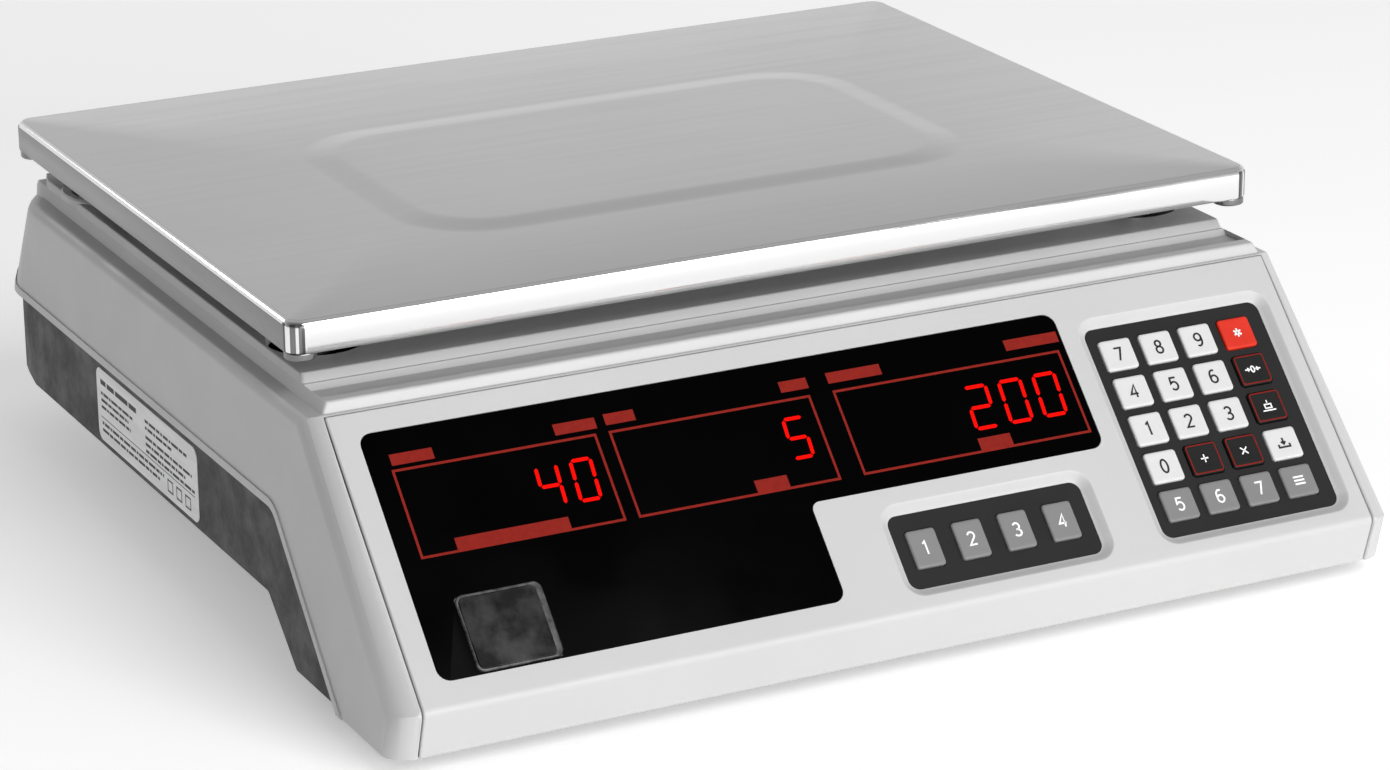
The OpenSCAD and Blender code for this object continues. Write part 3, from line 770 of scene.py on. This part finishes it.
def key_grid():
    """(node, panel x, panel s, size) of every key."""
    for i, name in enumerate(KEYS):
        yield name, 100.9 + 15 * (i % 4), 25 + 13.47 * (i // 4), KEY_SIZE
    for i, name in enumerate(MEMO_KEYS):
        yield name, 9.8 + 16.23 * i, 76.6, MEMO_SIZE


def key_ring(x, s, size, grown=0.0):
    """Spans of a key in x and s."""
    w, h = size[0] / 2 + grown, size[1] / 2 + grown
    return (x - w, x + w), (s - h, s + h)


def glass_outline(g=0.0):
    r = 4 + g
    x0, x1, xn = GLASS_X[0] - g, GLASS_X[1] + g, GLASS_NOTCH + g
    s0, sm, s1 = GLASS_S[0] - g, GLASS_S[1] + g, GLASS_S[2] + g
    return rounded([(x0, s0, r), (x1, s0, r), (x1, sm, r), (xn, sm, 3 - g), (xn, s1, r),
                    (x0, s1, r)])


def make_fascia():
    foot, knee, inner_top = slot_outline(WALL - 0.05)[1:4]
    gap = Vector((-cos(PANEL_ANGLE), -sin(PANEL_ANGLE))) * 0.15
    low_dir = (knee - foot).normalized()
    foot += low_dir * ((FOOT_GAP - foot.y) / low_dir.y)
    outline = rounded([(*FRONT_LOW, 0.6), (*foot, 0), (*knee, 0.5), (*(inner_top + gap), 0),
                       (*(PANEL_TOP + gap), 0.5), (*CREASE, 3)], 6)
    fascia = as_object(prism(outline, along_x, -FASCIA_HALF, FASCIA_HALF))
    for xs, ss in POCKETS:
        join(fascia, plate(inset(xs, -6.2), inset(ss, -1.5), 4.5, -KEY_FOOT, -WALL / 2, 0.1,
                           on_panel))
    cut(fascia, prism(glass_outline(0.15), on_panel, -GLASS_T, 5))
    cut(fascia, *(pocket_cutter(*spans) for spans in POCKETS))
    for xs in ((-147.5, -86.5), (-77.5, -14.5), (0.5, 77.5)):
        cut(fascia, plate(xs, (20.5, 49.5), 1, -12, 4, 0.1, on_panel))
    cut(fascia, plate(inset(WINDOW_X, 2), inset(WINDOW_S, 2, 5), 2, -12, 4, 0.1, on_panel))
    cut(fascia, merge([plate(*key_ring(x, s, size, 0.3), 1, -12, 2, 0.1, on_panel, 2)
                       for _, x, s, size in key_grid()]))
    tidy_mesh(fascia)
    edge_bevel(fascia, lambda p: abs(abs(p.x) - FASCIA_HALF) < 0.01, 0.7)
    return fascia


def make_glass():
    rings = [(0, -GLASS_T), (0, -0.25), (0.08, -0.07), (0.25, 0.0)]
    glass = as_object(loft([[on_panel(u, v, h) for u, v in glass_outline(-g)] for g, h in rings]))
    cut(glass, plate(inset(WINDOW_X, -0.1), inset(WINDOW_S, -0.1), 2, -GLASS_T - 1, 2, 0.1,
                     on_panel))
    return glass


def bars(spans, place, h0, h1):
    """Flat bars, each given as (u0, u1, v0, v1)."""
    return merge([prism([(a, c), (b, c), (b, d), (a, d)], place, h0, h1) for a, b, c, d in spans])


def frame_spans(x0, x1, s0, s1, t=0.8):
    return [(x0, x1, s0, s0 + t), (x0, x1, s1 - t, s1), (x0, x0 + t, s0 + t, s1 - t),
            (x1 - t, x1, s0 + t, s1 - t)]


def display_frames():
    spans = []
    for xs in ((-150.5, -83.5), (-79.3, -10.2), (-2.3, 79.5)):
        spans += frame_spans(*xs, 20.6, 50.1)
    # Short bars above the frames, and status bars that stand on their lower edges
    spans += [(-149.8, -136, 15.6, 19.3), (-96.3, -82.4, 15.3, 19), (-79.3, -69.2, 14.9, 18.6),
              (-19.2, -9.6, 14.6, 18.3), (-2.6, 16.4, 14.4, 18.1), (61.4, 80.8, 14.1, 17.8),
              (-138.5, -101.4, 45.4, 49.3), (-38.8, -27.6, 45.2, 49.3), (39.8, 51.4, 45.2, 49.3)]
    return spans


LIT_SEGMENTS = {"0": "abcdef", "2": "abged", "4": "fgbc", "5": "afgcd"}


def segment(name, width, height, thick):
    """Outline of one bar of a seven-segment digit about the digit's lower left corner."""
    t, gap = thick / 2, thick * 0.22
    w, half = width - thick, (height - thick) / 2
    if name in "adg":
        y = {"a": height - t, "d": t, "g": height / 2}[name]
        x0, x1 = t + gap, t + w - gap
        return [(x0, y), (x0 + t, y - t), (x1 - t, y - t), (x1, y), (x1 - t, y + t),
                (x0 + t, y + t)]
    x = t if name in "ef" else t + w
    y0 = t + gap if name in "ce" else t + half + gap
    y1 = y0 + half - 2 * gap
    return [(x, y0), (x + t, y0 + t), (x + t, y1 - t), (x, y1), (x - t, y1 - t), (x - t, y0 + t)]


def digits(text, right, base, width, height, pitch, thick, slant, place, h0, h1, down=True):
    """Lit digits whose last one ends at right; base is the outline's lower edge."""
    made = []
    for i, ch in enumerate(reversed(text)):
        x0 = right - width - i * pitch
        for name in LIT_SEGMENTS[ch]:
            outline = [(x0 + u + slant * v, base - v if down else base + v)
                       for u, v in segment(name, width, height, thick)]
            made.append(prism(outline, place, h0, h1))
    return merge(made)


# ---- keys
def make_key(x, s, size):
    xs, ss = key_ring(x, s, size)
    profile = [(0.0, -KEY_FOOT - 0.05)] + [(i, KEY_TOP - drop) for i, drop in (
        (0.0, 0.62), (0.06, 0.42), (0.22, 0.2), (0.46, 0.06), (0.8, 0), (2.2, 0.04), (4.0, 0.1))]
    key = as_object(loft([[on_panel(u, v, h) for u, v in
                           round_rect(inset(xs, i), inset(ss, i), max(1.1 - i * 0.2, 0.3), 4)]
                          for i, h in profile]))
    join(key, plate(*key_ring(x, s, size, 0.9), 1, -KEY_FOOT - 1.2, -KEY_FOOT, 0.1, on_panel, 3))
    return key


def stroke(points, width, place, h0, h1, closed=False):
    """Printed line of even width through points, with mitred corners."""
    pts = [Vector(p) for p in points]
    left, right = [], []
    for i, p in enumerate(pts):
        a = pts[i - 1] if i or closed else None
        b = pts[(i + 1) % len(pts)] if i < len(pts) - 1 or closed else None
        da = (p - a).normalized() if a else (b - p).normalized()
        db = (b - p).normalized() if b else da
        na, nb = Vector((-da.y, da.x)), Vector((-db.y, db.x))
        m = (na + nb) / max(1 + na.dot(nb), 0.4)
        left.append(p + m * width / 2)
        right.append(p - m * width / 2)
    bm = bmesh.new()
    low_l, low_r, high_l, high_r = [[bm.verts.new(place(q.x, q.y, h)) for q in side]
                                    for h in (h0, h1) for side in (left, right)]
    count = len(pts) if closed else len(pts) - 1
    for i in range(count):
        j = (i + 1) % len(pts)
        for a, b in ((low_l, low_r), (low_r, high_r), (high_r, high_l), (high_l, low_l)):
            bm.faces.new((a[i], a[j], b[j], b[i]))
    if not closed:
        for i in (0, -1):
            bm.faces.new((low_l[i], low_r[i], high_r[i], high_l[i]))
    bmesh.ops.recalc_face_normals(bm, faces=bm.faces)
    return bm


def arc(cx, cy, rx, ry, a0, a1, steps=14):
    """Points on an ellipse from angle a0 to a1 in degrees; y runs up the key."""
    return [(cx + rx * cos(radians(a0 + (a1 - a0) * k / steps)),
             cy + ry * sin(radians(a0 + (a1 - a0) * k / steps))) for k in range(steps + 1)]


# Legends as strokes in a box 2 wide and 3 high about the key's middle, y up; a tuple is closed
GLYPHS = {
    "0": [tuple(arc(0, 0, 0.78, 1.5, 0, 345, 22))],
    "1": [[(-0.5, 1.0), (0.1, 1.5), (0.1, -1.5)]],
    "2": [arc(0, 0.72, 0.78, 0.78, 165, -35, 12) + [(-0.8, -1.42), (0.85, -1.42)]],
    "3": [arc(-0.05, 0.76, 0.74, 0.74, 150, -85, 12) + arc(-0.05, -0.7, 0.84, 0.76, 85, -150, 12)],
    "4": [[(0.85, -0.62), (-0.88, -0.62), (0.4, 1.5), (0.4, -1.5)]],
    "5": [[(0.72, 1.42), (-0.6, 1.42), (-0.72, 0.12)] + arc(-0.02, -0.5, 0.84, 0.95, 130, -145)],
    "6": [arc(0.05, 0.2, 0.85, 1.25, 60, 180, 10) + arc(0, -0.62, 0.8, 0.85, 180, 535, 20)],
    "7": [[(-0.82, 1.42), (0.8, 1.42), (-0.2, -1.5)]],
    "8": [tuple(arc(0, 0.78, 0.66, 0.7, 0, 345, 16)), tuple(arc(0, -0.7, 0.8, 0.78, 0, 345, 16))],
    "9": [arc(-0.05, -0.2, 0.85, 1.25, 240, 360, 10) + arc(0, 0.62, 0.8, 0.85, 0, 355, 20)],
    "star": [arc(0, 0, 1.3, 1.3, a, a + 180, 1) for a in (90, 30, 150)],
    # Generic signs: zero between two arrows, a box on a line, plus, cross, arrow into a tray, list
    "zero_set": [tuple(arc(0, 0, 0.5, 0.85, 0, 345, 16)), [(-2.4, 0), (-1, 0)],
                 [(-1.6, 0.5), (-1, 0), (-1.6, -0.5)], [(2.4, 0), (1, 0)],
                 [(1.6, 0.5), (1, 0), (1.6, -0.5)]],
    "tare": [[(-2, -1.3), (2, -1.3)], ((-1, -0.6), (-1, 0.5), (1, 0.5), (1, -0.6)),
             [(0, 1.7), (0, 0.9)]],
    "add": [[(-1.2, 0), (1.2, 0)], [(0, 1.2), (0, -1.2)]],
    "clear": [[(-1, 1), (1, -1)], [(-1, -1), (1, 1)]],
    "save": [[(0, 1.5), (0, -0.3)], [(-0.7, 0.4), (0, -0.3), (0.7, 0.4)],
             [(-1.7, -0.3), (-1.7, -1.2), (1.7, -1.2), (1.7, -0.3)]],
    "func": [[(-1.6, y), (1.6, y)] for y in (1, 0, -1)]}
for number in range(1, 8):
    GLYPHS[f"m{number}"] = GLYPHS[str(number)]
LEGEND_SCALE = {"star": 1.15, "add": 1.15, "clear": 1.15, "zero_set": 1.2, "tare": 1.2, "func": 1.2,
                "save": 1.2}


def make_legend(name, x, s, scale, weight):
    return merge([stroke([(x + u * scale, s - v * scale) for u, v in points], weight, on_panel,
                         KEY_TOP - 0.16, KEY_TOP + 0.03, isinstance(points, tuple))
                  for points in GLYPHS[name]])


def key_look(name):
    """(cap material, cap slot, legend material, stroke width) of a key."""
    if name == "star":
        return RED_KEY, "key_red", WHITE_INK, 0.6
    if name in ("zero_set", "tare", "add", "clear"):
        return KEYDARK, "key_black", WHITE_INK, 0.45
    if name.startswith("m") or name == "func":
        return KEYGREY, "key_grey", WHITE_INK, 0.6
    return KEYCAP, "key_white", DARK_INK, 0.62


def add_keys():
    for name, x, s, size in key_grid():
        body = f"key_{name}"
        cap, slot, legend, weight = key_look(name)
        piece(make_key(x, s, size), f"cap_{name}", cap, body, [body])
        scale = LEGEND_SCALE.get(name, 1.45 if name.startswith("m") else 1.5)
        printed(make_legend(name, x, s, scale, weight), f"legend_{name}", legend, body)
        if slot == "key_black":
            ring = stroke(round_rect(*key_ring(x, s, size, -0.55), 0.8, 3), 0.38, on_panel,
                          KEY_TOP - 0.3, KEY_TOP + 0.02, True)
            printed(ring, f"outline_{name}", FRAME_INK, body)


# ---- pan
def make_pan():
    """Pressed sheet: folded rim with a rolled lower edge and a soft raised field."""
    xs, ys = (PAN_LO.x, PAN_HI.x), (PAN_LO.y, PAN_HI.y)
    top, low = PAN_HI.z - 0.9, PAN_LO.z
    r, fold, steps = 6.0, 2.2, 10
    outer = [(0.9, low), (0.35, low + 0.1), (0.0, low + 0.6), (0.0, top - fold)]
    outer += [(fold * (1 - cos(radians(a))), top - fold * (1 - sin(radians(a))))
              for a in range(15, 91, 15)]

    def ring(xs, ys, corner, z):
        return [along_z(u, v, z) for u, v in round_rect(xs, ys, corner, steps)]

    rings = [ring(inset(xs, i), inset(ys, i), max(r - i, 0.6), z) for i, z in outer]
    # Raised field: an even slope blended at both edges, whose corners are rounder than the pan's
    field_x, field_y = (-102.0, 105.0), (-46.0, 82.0)
    rise, band = 0.9, 12.0
    for f, lift in ((0, 0), (0.1, 0.04), (0.2, 0.14), (0.35, 0.31), (0.5, 0.5), (0.65, 0.69),
                    (0.8, 0.86), (0.9, 0.96), (1, 1)):
        rings.append(ring(inset(field_x, band * f), inset(field_y, band * f), 30 - band * f * 0.6,
                          top + rise * lift))

    def look(ring_index, i):
        """Material of a face: sheet, bright fold, side faces in painted shade and corners streaked
        with painted reflections.
        """
        if ring_index > len(outer) - 3:
            return 0
        corner, step = divmod(i, steps + 1)
        if step == steps:
            # Straight faces along y on the lower rings get the painted-shade steel
            along = layers[0][(i + 1) % count].co - layers[0][i].co
            return 2 if ring_index < 4 and abs(along.y) > abs(along.x) else 1
        if ring_index > 4:
            return 1
        centre = layers[0][i].co
        # Painted reflection: the round corners get stripes of the bright, shaded and dark steel
        # copies
        painted_reflection_streaks = "2311221231" if centre.x * (centre.y - PAN_Y * MM) > 0 else "1321221132"
        return int(painted_reflection_streaks[step])

    bm = bmesh.new()
    layers = [[bm.verts.new(p) for p in line] for line in rings]
    count = len(layers[0])
    for index, (a, b) in enumerate(zip(layers, layers[1:])):
        for i in range(count):
            j = (i + 1) % count
            bm.faces.new((a[i], a[j], b[j], b[i])).material_index = look(index, i)
    bm.faces.new(layers[-1])
    bmesh.ops.recalc_face_normals(bm, faces=bm.faces)
    obj = as_object(bm)
    if obj.data.polygons[-1].normal.z < 0:
        obj.data.flip_normals()
    modify(obj, "SOLIDIFY", thickness=1.0, offset=-1)
    apply_all(obj)
    return obj


def add_pan():
    obj = make_pan()
    indices = [f.material_index for f in obj.data.polygons]
    piece(obj, "pan_sheet", [STEEL, RIM, RIM_PAINTED_SHADE, RIM_PAINTED_DARK_REFLECTION], "pan", ["pan"],
          smooth=50, weighted=False)
    for face, index in zip(obj.data.polygons, indices):
        face.material_index = index
    # Folded tabs under the rim's corners, in the darker copy of the rim steel that carries painted
    # shade
    tabs = [plate((x, x + 10), (y, y + 10), 4.5, PAN_LO.z - 2.4, PAN_LO.z + 0.2, 0.5, along_z,
                  foot_edge=0.5)
            for x in (PAN_LO.x + 0.6, PAN_HI.x - 10.6) for y in (PAN_LO.y + 0.6, PAN_HI.y - 10.6)]
    piece(merge(tabs), "pan_tabs", RIM_PAINTED_SHADE, "pan")


def add_posts():
    posts, pads = [], []
    spider_top = box_mm("platform_spider")[1].z
    pad_low, pad_high = (corner.z for corner in box_mm("pan_cushions"))
    for x, y in POSTS:
        posts.append(lathe([(6, spider_top), (6, spider_top + 3), (5.4, spider_top + 3.6),
                            (5.4, spider_top + 6), (6, spider_top + 6.6), (6, pad_low - 1.5),
                            (5.2, pad_low - 0.6), (4, pad_low - 0.6), (4, pad_low)], (x, y, 0)))
        pads.append(lathe([(7.6, pad_low), (8.6, pad_low + 0.3), (9, pad_low + 1),
                           (9, pad_high - 1), (8.6, pad_high - 0.3), (7.6, pad_high)], (x, y, 0)))
    piece(merge(posts), "support_posts", ZINC, "platform", ["pan_posts"])
    piece(merge(pads), "support_pads", RUBBER, "platform", ["pan_cushions"])


# ---- base and fittings
def add_base():
    # Rear posts kept inside the cover's round corners
    waste = [as_object(prism([(x0, 150), (x0 + 30, 150), (x0 + 30, 190), (x0, 190)], along_z,
                             REAR_LOW.y + 0.1, 70)) for x0 in (-180, 150)]
    for corner in waste:
        cut(corner, carve(cover_planes(0.0, False), WALL + 0.7))
    piece(refine("base_tray", 0.45, waste=waste), "base_shell", CHARCOAL, "root",
          ["base_tray"])
    lo, hi = box_mm("rating_label")
    label = plate((lo.y, hi.y), (lo.z, hi.z), 3.5, 0.0, hi.x - lo.x, 0.05,
                  lambda u, v, w: Vector((hi.x - w, u, v)))
    piece(label, "rating_plate", LABEL, "root", ["rating_label"], weighted=False)
    # Rules, rows of dashes and empty boxes in place of wording, from the label's rear end
    dashes = [(4, 9, 3.6, 5.4), (10, 17, 3.6, 5.4), (18, 30, 3.6, 5.4), (31, 38, 3.6, 5.4)]
    rows = [(4, 34, 8.0), (4, 30, 10.4), (4, 32, 12.8), (46, 84, 4.6), (46, 70, 7.0),
            (46, 88, 10.2), (46, 82, 12.6), (46, 90, 15.0), (4, 62, 18.6), (4, 58, 21.0)]
    for row, (start, end, drop) in enumerate(rows):
        at, word = start, 0
        while at < end:
            length = 1.6 + 1.5 * ((3 * row + 2 * word + word // 3) % 4)
            dashes.append((at, min(at + length, end), drop, drop + 1.05))
            at += length + 0.7
            word += 1
    dashes.append((3, 90, 16.9, 17.2))
    for u in (65, 73, 81):
        dashes += frame_spans(u, u + 5, 18.8, 23.2, 0.6)
    marks = bars(dashes, lambda u, v, h: Vector((lo.x + 0.02 - h, hi.y - u, hi.z - v)), 0.0, 0.03)
    printed(marks, "rating_marks", DARK_INK)


def add_feet():
    for name in ("front_left", "front_right", "rear_left", "rear_right"):
        node = f"foot_{name}"
        lo, hi = box_mm(node)
        at = ((lo.x + hi.x) / 2, (lo.y + hi.y) / 2, 0)
        r = (hi.x - lo.x) / 2
        pad_h = FOOT_GAP - 0.5
        pad = [(r - 2.6, 0), (r - 2.2, 0.0), (r - 0.7, 0.35), (r, 1.2), (r, 2.4), (r - 0.35, 2.7),
               (r - 0.35, 3.1), (r, 3.4), (r, pad_h - 0.9), (r - 0.8, pad_h - 0.1), (4.2, pad_h)]
        piece(lathe(pad, at), f"pad_{name}", RUBBER, node, [node])
        thread = [(3.4, pad_h - 1)]
        z = pad_h - 0.5
        while z < hi.z - 0.8:
            thread += [(3.95, z), (3.45, z + 0.5)]
            z += 1
        thread += [(3.95, hi.z - 0.7), (3.2, hi.z)]
        piece(lathe(thread, at, steps=28), f"stud_{name}", ZINC, node)


def add_rear_display():
    rings = [(0, -GLASS_T), (0, -0.3), (0.1, -0.08), (0.3, 0.0)]
    glass = loft([[on_rear(u, v, h) for u, v in
                   round_rect(inset((-112, 112), g), inset((5, 25), g), 3)] for g, h in rings])
    piece(glass, "rear_glass", GLOSS, "root", ["rear_lens"])
    spans = []
    for x in (-70, 0, 70):
        spans += frame_spans(x - 32, x + 32, 7.2, 22.8, 0.5)
    printed(bars(spans, on_rear, 0.0, 0.05), "rear_frames", FRAME_INK)
    # Seen from behind, the weight is on the left, so its block is the one at the frame's right
    lit = [digits(text, 0, 0, 6.2, 9.6, 8, 1.25, 0.08,
                  lambda u, v, h, x=x: on_rear(x - u, 10.2 + v, h), 0.02, 0.08, False)
           for text, x in (("40", 42), ("5", -28), ("200", -98))]
    printed(merge(lit), "rear_digits_lit", LIT)


def add_fittings():
    for node, name, material, body, slot in (
            ("mains_inlet", "mains_socket", BLACK, "root", "black_plastic"),
            ("switch_housing", "switch_frame", BLACK, "root", "black_plastic"),
            ("switch_rocker", "rocker_cap", BLACK, "switch_rocker", "black_plastic"),
            ("battery_door", "battery_hatch", CHARCOAL, "root", "base_plastic")):
        piece(refine(node, 0.3), name, material, body, [node])


def add_cell():
    """Load cell, fixed to the base at its left end and carrying the platform at its right end; the
    mesh is only baked in place, not bent.
    """
    lo, hi = box_mm("load_cell")
    middle = (lo + hi) / 2 * MM
    reach = Vector((0.018, 0, 0))
    piece(refine("load_cell", 0.4), "cell_beam", ALLOY, None, ["load_cell"],
          bend=("root", "platform", middle - reach, middle + reach))


def add_level():
    lo, hi = box_mm("spirit_level")
    centre = ((lo.x + hi.x) / 2, (lo.y + hi.y) / 2, hi.z)
    piece(lathe([(8.8, 0), (8.8, 0.5), (8.2, 0.9), (5.4, 0.9), (5.4, 0)], centre), "level_rim",
          ALLOY, "root")


def paint_nodes():
    looks = {BOARD: ["display_board", "keypad_board", "rear_display_board", "main_board"],
             WHITE_INK: ["front_digits", "rear_digits"],
             ALLOY: ["cell_foot_block", "cell_top_block"],
             ZINC: ["platform_spider", "cover_screws"],
             DARKSTEEL: ["cell_bolts", "platform_bolts", "transformer"],
             BLACK: ["battery"],
             EDGE: ["spirit_level"],
             MAT: ["keypad_mat", "memory_mat"]}
    for material, nodes in looks.items():
        for node in nodes:
            dress(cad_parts[node].data, material)


def add_panel():
    piece(make_fascia(), "fascia_plate", COVER, "root", ["front_fascia"])
    piece(make_glass(), "display_window", GLOSS, "root", ["display_lens"])
    printed(bars(display_frames(), on_panel, -0.05, 0.04), "display_frames", FRAME_INK)
    small, large = (7.7, 14.4, 11.5, 1.15), (8.8, 15.4, 12.5, 1.2)
    lit = [digits(text, right, base, *size, 0.06, on_panel, -0.04, 0.05) for text, right, base, size
           in (("40", -88.4, 41.9, small), ("5", -15.8, 41.1, small), ("200", 74.2, 42.6, large))]
    printed(merge(lit), "display_digits", LIT)
    piece(plate(WINDOW_X, WINDOW_S, 2.6, -GLASS_T, 0.6, 0.5, on_panel), "window_rim", EDGE, "root",
          ["level_window"])
    middle = plate(inset(WINDOW_X, 0.7, 2.2), inset(WINDOW_S, 1, 0.6), 2.0, 0.3, 0.95, 0.35,
                   on_panel)
    piece(middle, "window_pane", SMOKE, "root")


# ---- stage
def area(name, at, aim, size, energy):
    light = bpy.data.lights.new(name, "AREA")
    light.shape = "RECTANGLE"
    light.size, light.size_y = size
    light.energy = energy
    obj = add_object(name, light)
    obj.location = at
    obj.rotation_euler = (Vector(aim) - Vector(at)).to_track_quat("-Z", "Y").to_euler()


def make_camera():
    turn, tilt, roll = radians(-26.776), radians(19.417), radians(-0.520)
    back = Vector((sin(turn) * cos(tilt), -cos(turn) * cos(tilt), sin(tilt)))
    right = Vector((cos(turn), sin(turn), 0))
    up = back.cross(right)
    right, up = right * cos(roll) + up * sin(roll), up * cos(roll) - right * sin(roll)
    data = bpy.data.cameras.new("camera")
    data.lens = 115.48
    data.clip_end = 50
    camera = add_object("camera", data)
    pose = Matrix((right, up, back)).transposed().to_4x4()
    pose.translation = Vector((-0.62595, -1.26986, 0.53723))
    camera.matrix_world = pose
    bpy.context.scene.camera = camera


def make_world():
    """Soft studio surroundings: pale behind and to the right, dark on the left, dimmer overhead."""
    world = bpy.data.worlds.new("studio")
    world.use_nodes = True
    tree = world.node_tree
    coords = add_node(tree, "TexCoord").outputs["Generated"]
    facing = add_node(tree, "VectorMath")
    facing.operation = "DOT_PRODUCT"
    facing.inputs[1].default_value = (0.7, 0.7, 0)
    side = add_node(tree, "MapRange", From_Min=-0.6, From_Max=0.25, To_Min=0.22, To_Max=1)
    split = add_node(tree, "SeparateXYZ")
    rise = add_node(tree, "MapRange", From_Min=0.1, From_Max=0.62, To_Min=0.84, To_Max=0.4)
    sky = tree.nodes["Background"]
    sky.inputs["Color"].default_value = (1, 1, 1, 1)
    product = add_node(tree, "Math")
    product.operation = "MULTIPLY"
    for a, b in ((coords, facing.inputs[0]), (facing.outputs["Value"], side.inputs["Value"]),
                 (coords, split.inputs["Vector"]), (split.outputs["Z"], rise.inputs["Value"]),
                 (side.outputs["Result"], product.inputs[0]),
                 (rise.outputs["Result"], product.inputs[1]),
                 (product.outputs["Value"], sky.inputs["Strength"])):
        tree.links.new(a, b)
    bpy.context.scene.world = world


def make_stage():
    bm = bmesh.new()
    bmesh.ops.create_grid(bm, x_segments=1, y_segments=1, size=8)
    floor = as_object(bm, "floor")
    s = Shader("floor_white", (0.9, 0.9, 0.9), 0.9, shine=0.1)
    s.set("Emission Color", (1, 1, 1, 1))
    s.set("Emission Strength", 0.34)
    floor.data.materials.append(s.material)
    make_world()
    area("key", (0.5, -1.9, 1.9), (0, -0.05, 0.05), (1.5, 1.3), 27)
    area("low_front", (0.3, -2.2, 0.45), (0, 0, 0.05), (1.9, 0.7), 36)
    area("rim_light", (-0.95, 2.1, 1.1), (-0.1, 0, 0.09), (0.5, 0.5), 5)
    bpy.context.scene.view_settings.view_transform = "Standard"


make_camera()
make_stage()
piece(make_cover(), "cover_shell", COVER, "root", ["top_cover"])
add_panel()
add_keys()
add_pan()
add_posts()
add_base()
add_feet()
add_rear_display()
add_fittings()
add_cell()
add_level()
paint_nodes()

bpy.context.view_layer.update()
